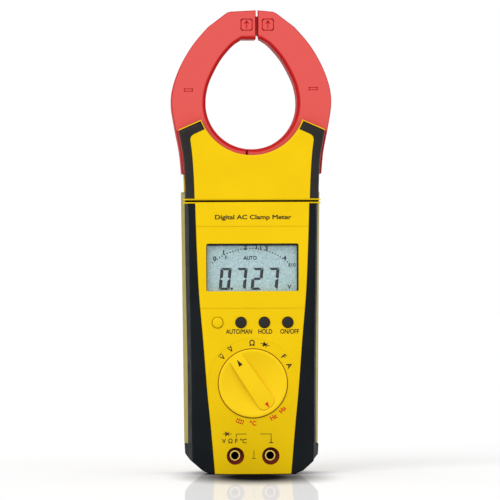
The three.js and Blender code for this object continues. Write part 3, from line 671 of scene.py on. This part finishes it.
# ---------- head ----------
def build_head_cover():
    """The yellow front of the head, with room for its two soft grips."""
    outline = head_outline(SEAM_HIGH)
    core = inset(head_outline(SEAM_HIGH - GRIP), GRIP)
    cover = solid("head_cover", outline, FRONT, -COVER_LIP, front=1.0)
    cut(cover, *[solid("zone", zone, -30, 0) for zone in (head_grip_zone(), flipped(head_grip_zone()))])
    under = solid("under", core, FRONT + GRIP, -COVER_LIP)
    skirt = solid("skirt", rect(34.2, SEAM_HIGH, STRIP_TOP), FRONT + GRIP, SPLIT)
    cut(skirt, box("room", -30, 30, -14.2, 10, SEAM_HIGH + 2, 160))
    rim = box("rim", -LIP_HALF, LIP_HALF, FRONT + 0.4, SPLIT, SEAM_HIGH, SEAM_HIGH + LIP, 0.2)
    join(cover, under, skirt, rim)
    finish_piece(cover, YELLOW, ["head_front_cover"])


def build_head_grips():
    """Two soft grips beside the yellow face, with skirts down to the seam."""
    core = inset(head_outline(SEAM_HIGH - GRIP), GRIP - CLEARANCE)
    low = SEAM_HIGH + LIP + CLEARANCE
    outline = head_outline(low - 5)
    zone = inset(head_grip_zone(), 0.12)
    for name, covered in (("left", flipped(zone)), ("right", zone)):
        grip = solid(f"head_grip_{name}_piece", outline, FRONT, -COVER_LIP, front=2.6, segments=6)
        skirt = solid("skirt", outline, FRONT, SPLIT, front=2.6, segments=6)
        keep(skirt, slab(-30, 10, low - 1, STRIP_TOP))
        join(grip, skirt)
        keep(grip, solid("zone", covered, -30, 10))
        cut(grip, solid("core", core, FRONT + GRIP - CLEARANCE, 10))
        finish_piece(grip, HEAD_BLACK, [f"head_grip_{name}"])


def build_seam_seal():
    """Painted shade in the seam between head and body: a dark block deep in the seam."""
    shade_block = box("seam_shade", -35.6, 35.6, FRONT + 0.8, SPLIT - 0.5, SEAM_LOW + 0.05, SEAM_HIGH - 0.05)
    finish_piece(shade_block, SHADE_BLACK)


build_head_cover()
build_head_grips()
build_seam_seal()


# ---------- body front ----------
def button_x(index):
    return (index - 1.5) * BUTTON_PITCH


def grip_hull(name, margin, y0):
    """The outside of the front grip, or the same less a margin. Its walls slope outwards."""
    wide = inset(grip_outline(), margin)
    narrow = inset(grip_outline(), margin + SIDE_SLOPE)
    limit = FACE_HALF - margin
    for i, (x, z) in enumerate(wide):
        if z < BUMPER_TOP + 0.5:
            narrow[i] = (max(-limit, min(limit, x)), z)
    return loft(name, [(y0, narrow), (SPLIT, wide)])


def build_front_case():
    """The yellow panel, and the hard shell under the soft grip."""

    def rim_radius(x, z):
        return 0.25 if z < 3 else 0.4

    panel = solid("front_panel", panel_outline(), FRONT, FRONT + PANEL_DEPTH, front=rim_radius, segments=6)
    keep(panel, slab(-30, 10, -5, SEAM_LOW))
    chassis = grip_hull("chassis", GRIP, FRONT + GRIP)
    keep(chassis, slab(-30, 10, -5, SEAM_LOW))
    cut(chassis, box("room", -29, 29, FRONT + 4, 10, 7, SEAM_LOW - 2))
    rim = box("rim", -LIP_HALF, LIP_HALF, FRONT + 0.4, SPLIT, SEAM_LOW - LIP, SEAM_LOW, 0.2)
    join(panel, chassis, rim)
    window = rect(WINDOW_HALF, WINDOW_LOW, WINDOW_HIGH, 1.2)
    holes = [solid("window", window, -30, 0)]
    holes += [bar("button hole", BUTTON_RADIUS + 0.2, button_x(i), BUTTON_Z, -30, 0) for i in range(4)]
    holes += [bar("knob hole", KNOB_RADIUS + 0.44, 0, KNOB_Z, -30, 0, KNOB_SIDES)]
    holes += [bar("socket hole", SOCKET_MOUTH, side * SOCKET_X, SOCKET_Z, -30, 0) for side in (-1, 1)]
    holes += [bar("dial", DIAL_RADIUS, 0, KNOB_Z, -30, FRONT + DIAL_DEPTH, KNOB_SIDES)]
    holes += [box("groove", -33, 33, -30, FRONT + 0.25, z - 0.18, z + 0.18) for z in PANEL_GROOVES]
    cut(panel, *holes)
    finish_piece(panel, YELLOW, ["body_front_case"])


def build_body_grip():
    """The soft grip around both sides of the panel and under the case."""
    grip = round_rims(grip_hull("body_grip_piece", 0.0, FRONT), FRONT, SPLIT, 0.9, 0.0, 6)
    keep(grip, slab(-30, 10, -5, SEAM_LOW - LIP - CLEARANCE))
    core = grip_hull("core", GRIP - CLEARANCE, FRONT + GRIP - CLEARANCE)
    back = FRONT + PANEL_DEPTH + CLEARANCE
    cut(grip, core, solid("panel", inset(panel_outline(), -0.14), -30, back))
    cut(grip, box("under the panel", -20, 20, -30, back, -5, 1))
    finish_piece(grip, GRIP_BLACK, ["body_grip"])


def build_knob_gap():
    """Painted shade in the gap around the knob: a red-brown ring in the hole in which the knob turns."""
    inner = KNOB_RADIUS + 0.12
    outer = KNOB_RADIUS + 0.43
    front = FRONT + DIAL_DEPTH + 0.1
    profile = [(inner, front), (outer, front), (outer, -16), (inner, -16)]
    finish_piece(turned("knob_gap", profile, 0, KNOB_Z, KNOB_SIDES), GAP_BROWN)


build_front_case()
build_body_grip()
build_knob_gap()


# ---------- rear ----------
def rear_hull(name, margin, front_slope):
    """The rear of the body: a slope at its front edge, straight walls and a rounded back."""
    outline = inset(rear_outline(), margin)
    narrow = inset(rear_outline(), margin + front_slope)
    slope = [(REAR_FRONT, narrow), (REAR_FRONT + 9, outline)] if front_slope else [(REAR_FRONT, outline)]
    piece = loft(name, [*slope, (REAR - margin, outline)])
    return round_rims(piece, REAR_FRONT, REAR - margin, 0.0, 5.0 - margin / 2, 8)


def rear_shell():
    """The rear of body and head as one hollow shell, open towards the front."""
    hull = rear_hull("rear_shell", 0, 1.7)
    keep(hull, slab(-10, 40, BUMPER_TOP, 200))
    low = rear_hull("low", GRIP, 0)
    keep(low, slab(-10, 40, -5, BUMPER_TOP + 1))
    head = solid("head", head_outline(STRIP_TOP - 6), COVER_LIP, HEAD_REAR, back=3.0, segments=6)
    join(hull, low, head)
    room = box("room", -31, 31, -30, 17.1, 8, 147)
    neck = box("neck", -30, 30, -30, HEAD_REAR - 2, 140, 160)
    door = solid("door", rect(COVER_HALF + 0.25, COVER_LOW - 0.25, COVER_HIGH + 0.25, 2.0), REAR - 3.5, 40)
    return cut(hull, room, neck, door)


def build_rear_case():
    """The rear shell with the battery's compartment and the screw holes."""
    hull = rear_shell()
    seat = solid("seat", rect(COVER_HALF + 2, COVER_LOW - 1.7, COVER_HIGH + 2), REAR - 5.5, REAR - 3)
    walls = solid("walls", rect(15.1, 19.2, 68.5), 4, REAR - 5)
    post = bar("post", 3.4, 0, COVER_SCREW_Z, 8, REAR - 3.5)
    join(hull, seat, walls)
    cut(hull, solid("battery room", rect(13.7, 20.4, 76.5), 3, 40))
    join(hull, post)
    case_screws = list(SCREWS.values())[:-1]
    holes = [bar("counterbore", 3.1, x, z, top - 2, 40) for x, z, top in case_screws]
    cut(hull, *holes, bar("post hole", 1.8, 0, COVER_SCREW_Z, 6, 40))
    finish_piece(hull, REAR_YELLOW, ["rear_case"])


def build_bumper():
    bumper = rear_hull("base_bumper", 0, 0)
    keep(bumper, slab(-10, 40, -5, BUMPER_TOP - 0.3))
    cut(bumper, rear_hull("inside", GRIP - CLEARANCE, 0))
    finish_piece(bumper, GRIP_BLACK, ["rear_base_bumper"])


def build_battery_door():
    outline = rect(COVER_HALF, COVER_LOW, COVER_HIGH, 2.0)
    door = solid("battery_door", outline, REAR - 3.2, REAR - 0.2, back=0.5)
    z = COVER_SCREW_Z
    cuts = [bar("screw hole", 1.8, 0, z, 0, 40), bar("screw seat", 3.1, 0, z, REAR - 2, 40)]
    for i in range(5):
        cuts.append(box("finger groove", -8, 8, REAR - 0.9, 40, 62.0 + 1.8 * i, 62.9 + 1.8 * i))
    cut(door, *cuts)
    finish_piece(door, YELLOW, ["battery_cover"], "battery_cover")


def build_screws():
    for name, (x, z, top) in SCREWS.items():
        tip = 10.0 if name == "battery_cover_screw" else -13.0
        stem = [(0, tip), (1.2, tip + 0.6), (1.5, tip + 1.4), (1.5, top - 1.6)]
        head = [(2.8, top - 1.6), (2.8, top - 0.5), (2.5, top - 0.15), (1.8, top), (0, top)]
        piece = turned(f"{name}_piece", [*stem, *head], x, z, 40)
        cut(piece, *[box("slot", x - a, x + a, top - 0.9, top + 1, z - b, z + b) for a, b in SCREW_SLOTS])
        body = "battery_cover" if name == "battery_cover_screw" else "root"
        finish_piece(piece, STEEL, [name], body)


build_rear_case()
build_bumper()
build_battery_door()
build_screws()


# ---------- display ----------
def build_window():
    outline = rect(WINDOW_HALF - 0.15, WINDOW_LOW + 0.15, WINDOW_HIGH - 0.15, 1.2)
    pane = solid("window_pane", outline, FRONT + 1.2, FRONT + 2.4, front=0.3)
    finish_piece(pane, PANE, ["display_window"])


def build_gasket():
    """Dark strips behind the window's top and sides, between the case and the display: partly the display's
    black border, partly painted shadow under the window's edges.
    """
    strip_depth = (-15.3, -14.45)
    strips = [
        box("top", -25.5, 25.5, *strip_depth, WINDOW_HIGH - 1.2, WINDOW_HIGH + 0.6),
        box("left", -25.5, -24.5, *strip_depth, WINDOW_LOW - 0.6, WINDOW_HIGH),
        box("right", 24.0, 24.7, *strip_depth, WINDOW_LOW - 0.6, WINDOW_HIGH),
    ]
    merge("display_border_shade", strips, SHADE_BLACK)


# A seven-segment digit stands upright here and is slanted when it is placed.
DIGIT_WIDTH = 5.8
DIGIT_HEIGHT = 11.9
DIGIT_PITCH = 8.6
DIGIT_SLANT = 0.1
TOP_BAR = [(1.5, 10.6), (4.3, 10.6), (5.6, 11.9), (0.2, 11.9)]
MIDDLE_BAR = [(1.5, 5.3), (4.3, 5.3), (5.0, 5.95), (4.3, 6.6), (1.5, 6.6), (0.8, 5.95)]
UPPER_LEFT_BAR = [(-0.1, 6.2), (0.6, 6.1), (1.6, 6.9), (1.6, 10.4), (-0.1, 11.7)]


def upside_down(points):
    return [(x, DIGIT_HEIGHT - z) for x, z in points]


def left_to_right(points):
    return [(DIGIT_WIDTH - x, z) for x, z in points]


SEGMENTS = {
    "a": TOP_BAR,
    "b": left_to_right(UPPER_LEFT_BAR),
    "c": left_to_right(upside_down(UPPER_LEFT_BAR)),
    "d": upside_down(TOP_BAR),
    "e": upside_down(UPPER_LEFT_BAR),
    "f": UPPER_LEFT_BAR,
    "g": MIDDLE_BAR,
}
LIT = {"0": "abcdef", "2": "abged", "7": "abc"}
READING_X = -18.1
READING_Z = 99.3
GLASS_FRONT = -14.3
SEGMENT_SPAN = (GLASS_FRONT - 0.06, GLASS_FRONT - 0.01)
SEGMENT_FACE = GLASS_FRONT - 0.05


def build_reading():
    """Four slanted digits with a decimal point after the first."""
    parts = []
    for index, digit in enumerate("0727"):
        left = READING_X + DIGIT_PITCH * index
        for letter in LIT[digit]:
            outline = [(left + x + z * DIGIT_SLANT, READING_Z + z) for x, z in SEGMENTS[letter]]
            parts.append(solid("segment", outline, *SEGMENT_SPAN))
    parts.append(bar("point", 0.65, READING_X + 7.0, READING_Z + 0.7, *SEGMENT_SPAN, 16))
    merge("display_reading", parts, SEGMENT)


def build_scale():
    """The bar scale above the reading: dots on a shallow arc, and five numbers."""
    parts = []
    for x, z in arc(31.0, 131, 47, 29, (-1.0, 90.6)):
        parts.append(box("dot", x - 0.3, x + 0.3, *SEGMENT_SPAN, z - 0.35, z + 0.35))
    for x, z in ((-14.2, 117.3), (2.3, 122.6), (4.6, 122.1)):
        parts.append(box("tick", x - 0.3, x + 0.3, *SEGMENT_SPAN, z - 1.3, z + 0.6))
    merge("display_scale", parts, SEGMENT)
    places = [(-20.2, 116.1), (-15.4, 119.4), (-3.7, 122.0), (7.7, 121.6), (17.6, 116.4)]
    for number, (x, z) in enumerate(places):
        letters(f"display_scale_{number}", str(number), x, z, 2.3, SEGMENT_FACE, SEGMENT, weight=0.14)
    letters("display_scale_factor", "x10", 21.4, 112.6, 1.9, SEGMENT_FACE, SEGMENT, weight=0.05)


def merge(name, parts, material, body="root"):
    """Many small closed parts as one piece."""
    bm = bmesh.new()
    for part in parts:
        bm.from_mesh(part.data)
        bpy.data.objects.remove(part)
    return finish_piece(new_object(name, bm), material, body=body)


# ---------- print ----------
def text_mesh(name, text, height, weight):
    curve = bpy.data.curves.new(name, "FONT")
    curve.body = text
    curve.align_x = "CENTER"
    curve.align_y = "CENTER"
    curve.size = height * MM / 0.7
    curve.extrude = 0.01 * MM
    curve.bevel_depth = weight * MM
    curve.bevel_resolution = 0
    writing = add_object(name, curve)
    mesh = final_mesh(writing)
    bpy.data.objects.remove(writing)
    return mesh


def placed(x, y, z, turn):
    """Moves a flat drawing to (x, y, z) and turns it clockwise by an angle in degrees."""
    return Matrix.Translation((x * MM, y * MM, z * MM)) @ Matrix.Rotation(math.radians(turn), 4, "Y")


def letters(name, text, x, z, height, y, material, turn=0.0, width=None, weight=0.03):
    """Printed text centred on (x, z), facing the front. height is that of a capital letter. width
    stretches the text, weight thickens its strokes and turn is in degrees clockwise."""
    mesh = text_mesh(name, text, height, weight)
    xs = [vertex.co.x for vertex in mesh.vertices]
    stretch = width * MM / (max(xs) - min(xs)) if width else 1.0
    upright = Matrix.Rotation(math.radians(90), 4, "X")
    mesh.transform(placed(x, y, z, turn) @ upright @ Matrix.Diagonal((stretch, 1, 1, 1)))
    finish_piece(add_object(name, mesh), material)


def stroke(points, width):
    """A line of a given width through the points, as separate overlapping bars."""
    bars = []
    for (x0, z0), (x1, z1) in zip(points, points[1:]):
        along = Vector((x1 - x0, z1 - z0)).normalized() * width / 2
        side = Vector((-along.y, along.x))
        start = Vector((x0, z0)) - along
        end = Vector((x1, z1)) + along
        corners = [start - side, end - side, end + side, start + side]
        bars.append(solid("stroke", [tuple(corner) for corner in corners], -INK_THICKNESS, 0.0))
    return bars


def drawn(name, lines, x, z, y, material, body="root", turn=0.0, width=0.4):
    """A symbol of straight lines around (x, z), turned clockwise by an angle in degrees."""
    parts = [part for line in lines for part in stroke(line, width)]
    symbol = merge(name, parts, material, body)
    symbol.data.transform(placed(x, y, z, turn))


def around_knob(angle, radius):
    """A place beside the knob, at an angle clockwise from straight up."""
    turn = math.radians(angle)
    return radius * math.sin(turn), KNOB_Z + radius * math.cos(turn)


INK_THICKNESS = 0.04
FACE = FRONT - 0.01  # surface that carries the print
DIAL_FACE = FRONT + DIAL_DEPTH - 0.01

DIODE = [
    [(-2.3, 0), (2.3, 0)],
    [(-0.9, -1.1), (-0.9, 1.1), (0.8, 0), (-0.9, -1.1)],
    [(-0.7, -0.5), (0.3, 0), (-0.7, 0.5)],
    [(0.9, -1.1), (0.9, 1.1)],
]
BATTERY_SIGN = [
    [(-1.8, -0.9), (1.8, -0.9), (1.8, 0.9), (-1.8, 0.9), (-1.8, -0.9)],
    [(-0.6, -0.9), (-0.6, 0.9)],
    [(0.6, -0.9), (0.6, 0.9)],
]
DIRECT = [[(-1.1, 0.2), (1.1, 0.2)]]
ALTERNATING = [[(-1.1, -0.1), (-0.5, 0.3), (0.5, -0.3), (1.1, 0.1)]]
GROUND = [[(0, 1.1), (0, -1.1)], [(-1.0, -1.1), (1.0, -1.1)]]
BOX_CORNER = [(3, -2.3), (3, 2.3), (2.3, 3)]
BOX_SIDES = [*BOX_CORNER, *[(-x, z) for x, z in reversed(BOX_CORNER)]]
BOX_SIGN = [
    [(-2.3, -3), (2.3, -3), *BOX_SIDES, (-2.3, -3)],
    [(0, -1.8), (0, 1.8)],
    [(-1, 0.7), (0, 1.8), (1, 0.7)],
]
BAR_SIGN = [[(-2.2, -0.65), (2.2, -0.65), (2.2, 0.65), (-2.2, 0.65), (-2.2, -0.65)]]
CENTRE_GROUND = [[(0, 2.1), (0, -2.0)], [(-0.9, -2.0), (0.9, -2.0)]]
SOCKET_BRACKET = [[(-9.1, 19.9), (-9.1, 21.8), (-3.7, 21.8)], [(3.9, 21.8), (9.7, 21.8), (9.7, 19.6)]]
SOCKET_MARKS = (
    ("volt", "V", -15.7),
    ("ohm", "\u03a9", -12.2),
    ("farad", "F", -9.1),
    ("celsius", "\u00b0C", -5.3),
)


def print_dial():
    """The symbols around the knob: its settings in black, their second functions in red."""
    for name, text, angle, radius, height, material in (
        ("volt_dc", "V", -49, 21.3, 2.3, INK),
        ("volt_ac", "V", -33, 21.5, 2.3, INK),
        ("ohm", "\u03a9", -1, 21.6, 2.9, INK),
        ("farad", "F", 49, 21.9, 2.7, INK),
        ("ampere", "A", 64, 21.7, 2.7, INK),
        ("hertz", "Hz", 132, 21.4, 2.35, RED_INK),
        ("hertz_current", "Hz", 149, 21.4, 2.35, RED_INK),
        ("celsius", "\u00b0C", 180, 21.6, 2.3, RED_INK),
    ):
        turn = angle if abs(angle) < 90 else angle - 180
        place = around_knob(angle, radius)
        letters(f"mark_{name}", text, *place, height, DIAL_FACE, material, turn=turn, weight=0.11)
    drawn("mark_direct", DIRECT, *around_knob(-49, 23.2), DIAL_FACE, INK, turn=-49)
    drawn("mark_alternating", ALTERNATING, *around_knob(-33, 23.3), DIAL_FACE, INK, turn=-33)
    drawn("mark_diode", DIODE, *around_knob(17.5, 21.9), DIAL_FACE, INK, turn=17.5)
    drawn("mark_battery", BATTERY_SIGN, *around_knob(199, 21.6), DIAL_FACE, RED_INK, turn=19)


def print_panel():
    """The words and symbols on the yellow face."""
    letters("title_print", "Digital AC Clamp Meter", 0.3, 138.4, 2.3, FACE, INK, width=41.2, weight=0.09)
    for name, text, x, width in (
        ("range", "AUTO/MAN", -7.3, 14.1),
        ("hold", "HOLD", 6.7, 7.5),
        ("power", "ON/OFF", 19.85, 10.1),
    ):
        letters(f"label_{name}", text, x, 76.8, 2.4, FACE, INK, width=width, weight=0.08)
    for name, text, x in SOCKET_MARKS:
        letters(f"socket_mark_{name}", text, x, 17.9, 2.3, FACE, INK, weight=0.07)
    drawn("socket_mark_diode", DIODE, -14.0, 21.9, FACE, INK, width=0.3)
    drawn("socket_mark_bracket", SOCKET_BRACKET, 0, 0, FACE, INK, width=0.3)
    drawn("socket_mark_common", GROUND, 9.7, 18.2, FACE, INK)
    drawn("centre_mark_ground", CENTRE_GROUND, 0.4, 10.7, FACE, INK, width=0.3)


def mark_jaws():
    """Outlines on the jaws' front faces, in a deep red that paints the shade of engraved lines."""
    y = -JAW_HALF - 0.005
    for side, square_x, bar_x, bar_z in (("left", -2.5, -34.0, 207.2), ("right", 9.0, 33.4, 207.8)):
        drawn(f"jaw_mark_arrow_{side}", BOX_SIGN, square_x, 242.4, y, ENGRAVING_SHADE, f"jaw_{side}", width=0.6)
        drawn(f"jaw_mark_bar_{side}", BAR_SIGN, bar_x, bar_z, y, ENGRAVING_SHADE, f"jaw_{side}", width=0.45)


build_window()
build_gasket()
build_reading()
build_scale()
letters("display_auto", "AUTO", -1.1, 116.4, 2.0, SEGMENT_FACE, SEGMENT, width=7.2, weight=0.08)
letters("display_unit", "V", 20.0, 100.8, 2.2, SEGMENT_FACE, SEGMENT, weight=0.1)
print_panel()
print_dial()
mark_jaws()


# ---------- buttons and selector ----------
def build_buttons():
    """Four round caps: the first is yellow and the others are black."""
    for index, name in enumerate(("mode", "range", "hold", "power")):
        profile = [(0, -18.9), (2.2, -18.88), (2.65, -18.75), (2.83, -18.45), (2.87, -18.0), (2.87, -15.7)]
        profile += [(3.87, -15.7), (3.87, -14.7), (1.4, -14.7), (1.4, -13.8), (0, -13.8)]
        cap = turned(f"button_{name}_cap", profile, button_x(index), BUTTON_Z)
        material = BLACK if index else YELLOW
        finish_piece(cap, material, [f"button_{name}"], f"button_{name}")


BOWL = {"reach": 17.2, "depth": 2.8, "steps": 24}
HANDLE_SIDE = [(1.5, -15.9), (3.6, -15.2), (4.8, -13.2), (4.1, 13.7), (4.0, 17.0)]


def turn_about_knob(piece):
    centre = Vector((0, 0, KNOB_Z * MM))
    turn = Matrix.Rotation(-math.radians(KNOB_ANGLE), 4, "Y")
    piece.data.transform(Matrix.Translation(centre) @ turn @ Matrix.Translation(-centre))


def build_knob():
    """A low disc with a shallow bowl around a straight bar."""
    rim = [(0, KNOB_TOP), (17.9, KNOB_TOP), (18.2, -18.72), (KNOB_RADIUS, -18.4), (KNOB_RADIUS, -15.7)]
    knob = turned("knob", [*rim, (20.6, -15.7), (20.6, -14.4), (0, -14.4)], 0, KNOB_Z, KNOB_SIDES)
    ball = (BOWL["reach"] ** 2 + BOWL["depth"] ** 2) / (2 * BOWL["depth"])
    surface = []
    for i in range(BOWL["steps"] + 1):
        radius = BOWL["reach"] * i / BOWL["steps"]
        surface.append((radius, KNOB_TOP + BOWL["depth"] - ball + math.sqrt(ball**2 - radius**2)))
    cut(knob, turned("bowl", [*surface, (BOWL["reach"], -21), (0, -21)], 0, KNOB_Z, KNOB_SIDES))
    handle = mirrored([(x, KNOB_Z + z) for x, z in HANDLE_SIDE])
    join(knob, solid("handle", rounded(handle, 0.8, 3), KNOB_TOP, -15.5, front=0.5))
    turn_about_knob(knob)
    finish_piece(knob, KNOB_YELLOW, ["selector_knob"], "selector")


def mark_knob():
    """Two small pointed marks on the bar: black at the pointer's end and red at the other."""
    for name, material, start, tip, half in (
        ("pointer_black", POINTER, KNOB_Z + 11.6, KNOB_Z + 15.4, 1.15),
        ("pointer_red", RED_INK, KNOB_Z - 12.6, KNOB_Z - 15.9, 1.05),
    ):
        outline = [(-half, start), (half, start), (0, tip)]
        mark = solid(name, outline if tip > start else outline[::-1], KNOB_TOP - 0.03, KNOB_TOP + 0.01)
        turn_about_knob(mark)
        finish_piece(mark, material, body="selector")


build_buttons()
build_knob()
mark_knob()


# ---------- sockets ----------
TUBE_OUTSIDE = [(2.95, -9.3), (2.95, 3.7), (0, 3.7)]
TUBE_INSIDE = [(0, 2.7), (2.0, 2.7), (2.0, -9.3), (2.15, -9.5), (2.8, -9.5)]
SLEEVE_INSIDE = [(3.25, 1.5), (3.25, -8.6), (SOCKET_MOUTH, -8.6), (SOCKET_MOUTH, -15.7)]
SLEEVE = [*SLEEVE_INSIDE, (5.47, -15.7), (5.47, 1.5)]
# A thin dark layer just inside each tube, as painted shade in its depth.
TUBE_SHADE = [(1.96, -9.1), (1.96, 2.66), (0, 2.66), (0, 2.5), (1.8, 2.5), (1.8, -9.1)]


def build_sockets():
    """Two brass tubes in insulating sleeves, each with a thin dark layer inside as painted shade in its
    depth.
    """
    for side, name in ((-1, "left"), (1, "right")):
        x = side * SOCKET_X
        tube_piece = turned(f"socket_{name}_tube", [*TUBE_OUTSIDE, *TUBE_INSIDE], x, SOCKET_Z)
        sleeve_piece = turned(f"socket_{name}_sleeve", SLEEVE, x, SOCKET_Z)
        tube_shade_piece = turned(f"socket_{name}_tube_shade", TUBE_SHADE, x, SOCKET_Z)
        finish_piece(tube_piece, GOLD, [f"socket_tube_{name}"])
        finish_piece(sleeve_piece, BROWN, [f"socket_sleeve_{name}"])
        finish_piece(tube_shade_piece, SHADE_BLACK)


build_sockets()


# ---------- CAD nodes that stay ----------
KEPT = (
    (CORE, "core"),
    (COIL, "coil"),
    (STEEL, "pivot_pin", "board_screw", "detent_ball"),
    (BOARD, "main_board"),
    (DISPLAY, "display_glass"),
    (WHITE, "display_backlight", "selector_rotor"),
    (CONTACT, "contact_strip"),
    (BLACK, "display_frame", "measuring_chip", "buzzer", "tact_switch", "battery_snap"),
    (GOLD, "selector_wiper"),
    (RED_WIRE, "battery_lead_red"),
    (BLACK_WIRE, "battery_lead_black", "sensing_lead"),
    (LABEL, "battery"),
)


def paint_kept_nodes():
    """Gives every node that is still shown the first material with a fitting name."""
    for node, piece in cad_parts.items():
        fitting = [material for material, *names in KEPT if any(name in node for name in names)]
        if fitting and not piece.hide_render:
            piece.data.materials.clear()
            piece.data.materials.append(fitting[0])


paint_kept_nodes()


# ---------- stage ----------
# In metres and degrees.
CAMERA_DISTANCE = 2.5
FRAME_WIDTH = 0.271  # what the picture's width spans at the meter
SENSOR_WIDTH = 36  # millimetres
AIM = Vector((-0.0006, 0.0, 0.1208))
CAMERA_AZIMUTH = -2.3
CAMERA_ROLL = -0.2
# SHADOW_HALF, SHADOW_CENTRE and SHADOW_FADE shape a painted shadow in the floor's colour.
SHADOW_HALF = (0.031, 0.064)  # half axes of the soft dark patch on the floor
SHADOW_CENTRE = -0.045  # its centre is in front of the meter's
SHADOW_FADE = (0.35, 1.65)  # it fades out between these multiples of its half axes
SHEET_WHITE = (0.84, 0.84, 0.84, 1)
PAINTED_SHADOW_BLACK = (0.006, 0.006, 0.006, 1)
MIRROR_SHARE = 0.33


def white_sheet(material):
    """A matte white surface with a faint mirror image."""
    matte = add_node(material, "BsdfDiffuse", [("Color", SHEET_WHITE)])
    mirror = add_node(material, "BsdfGlossy", [("Roughness", 0.03)])
    sheet = add_node(material, "MixShader", [("Fac", MIRROR_SHARE)])
    connect(matte.outputs["BSDF"], sheet.inputs[1])
    connect(mirror.outputs["BSDF"], sheet.inputs[2])
    return sheet.outputs["Shader"]


def patch_edge(material):
    """0 in the middle of the painted shadow and 1 outside it."""
    coordinates = add_node(material, "TexCoord")
    half_x, half_y = SHADOW_HALF
    place = [("Location", (0, -SHADOW_CENTRE / half_y, 0)), ("Scale", (1 / half_x, 1 / half_y, 0))]
    ellipse = add_node(material, "Mapping", place)
    distance = add_node(material, "VectorMath")
    distance.operation = "LENGTH"
    connect(coordinates.outputs["Object"], ellipse.inputs["Vector"])
    connect(ellipse.outputs["Vector"], distance.inputs[0])
    inner, outer = SHADOW_FADE
    fade = add_node(material, "MapRange", [("From Min", inner), ("From Max", outer)])
    fade.interpolation_type = "SMOOTHSTEP"
    connect(distance.outputs["Value"], fade.inputs["Value"])
    return fade.outputs["Result"]


def build_floor():
    """A white sheet with a faint mirror image, and a painted shadow, a soft dark patch, where the meter
    stands.
    """
    bpy.ops.mesh.primitive_plane_add(size=12, location=(0, 0, 0))
    floor = bpy.context.object
    floor.name = "floor"
    material = shader("floor", Base_Color=PAINTED_SHADOW_BLACK, Specular_IOR_Level=0.0, Roughness=1.0)
    nodes = material.node_tree.nodes
    surface = add_node(material, "MixShader")
    connect(patch_edge(material), surface.inputs["Fac"])
    connect(nodes["Principled BSDF"].outputs["BSDF"], surface.inputs[1])
    connect(white_sheet(material), surface.inputs[2])
    connect(surface.outputs["Shader"], nodes["Material Output"].inputs["Surface"])
    floor.data.materials.append(material)


def far_light(name, source, strength, softness):
    """An even light from the direction of source."""
    light = bpy.data.lights.new(name, "SUN")
    light.energy = strength
    light.angle = math.radians(softness)
    lamp = add_object(name, light)
    lamp.rotation_euler = Vector(source).to_track_quat("Z", "Y").to_euler()


def build_lights():
    far_light("key", (-0.6, -0.9, 0.8), 1.5, 40)
    far_light("fill", (0.9, -0.8, 0.3), 0.5, 60)
    world = bpy.data.worlds.new("studio")
    world.use_nodes = True
    background = world.node_tree.nodes["Background"]
    background.inputs["Color"].default_value = (1, 1, 1, 1)
    background.inputs["Strength"].default_value = 1.0
    bpy.context.scene.world = world


def build_camera():
    lens = bpy.data.cameras.new("camera")
    lens.sensor_width = SENSOR_WIDTH
    lens.lens = SENSOR_WIDTH * CAMERA_DISTANCE / FRAME_WIDTH
    lens.clip_end = 50
    camera = add_object("camera", lens)
    azimuth = math.radians(CAMERA_AZIMUTH)
    camera.location = AIM + CAMERA_DISTANCE * Vector((math.sin(azimuth), -math.cos(azimuth), 0))
    look = (AIM - camera.location).to_track_quat("-Z", "Y").to_matrix()
    roll = Matrix.Rotation(math.radians(CAMERA_ROLL), 3, "Z")
    camera.rotation_euler = (look @ roll).to_euler()
    bpy.context.scene.camera = camera


build_floor()
build_lights()
build_camera()
bpy.context.scene.view_settings.view_transform = "Standard"
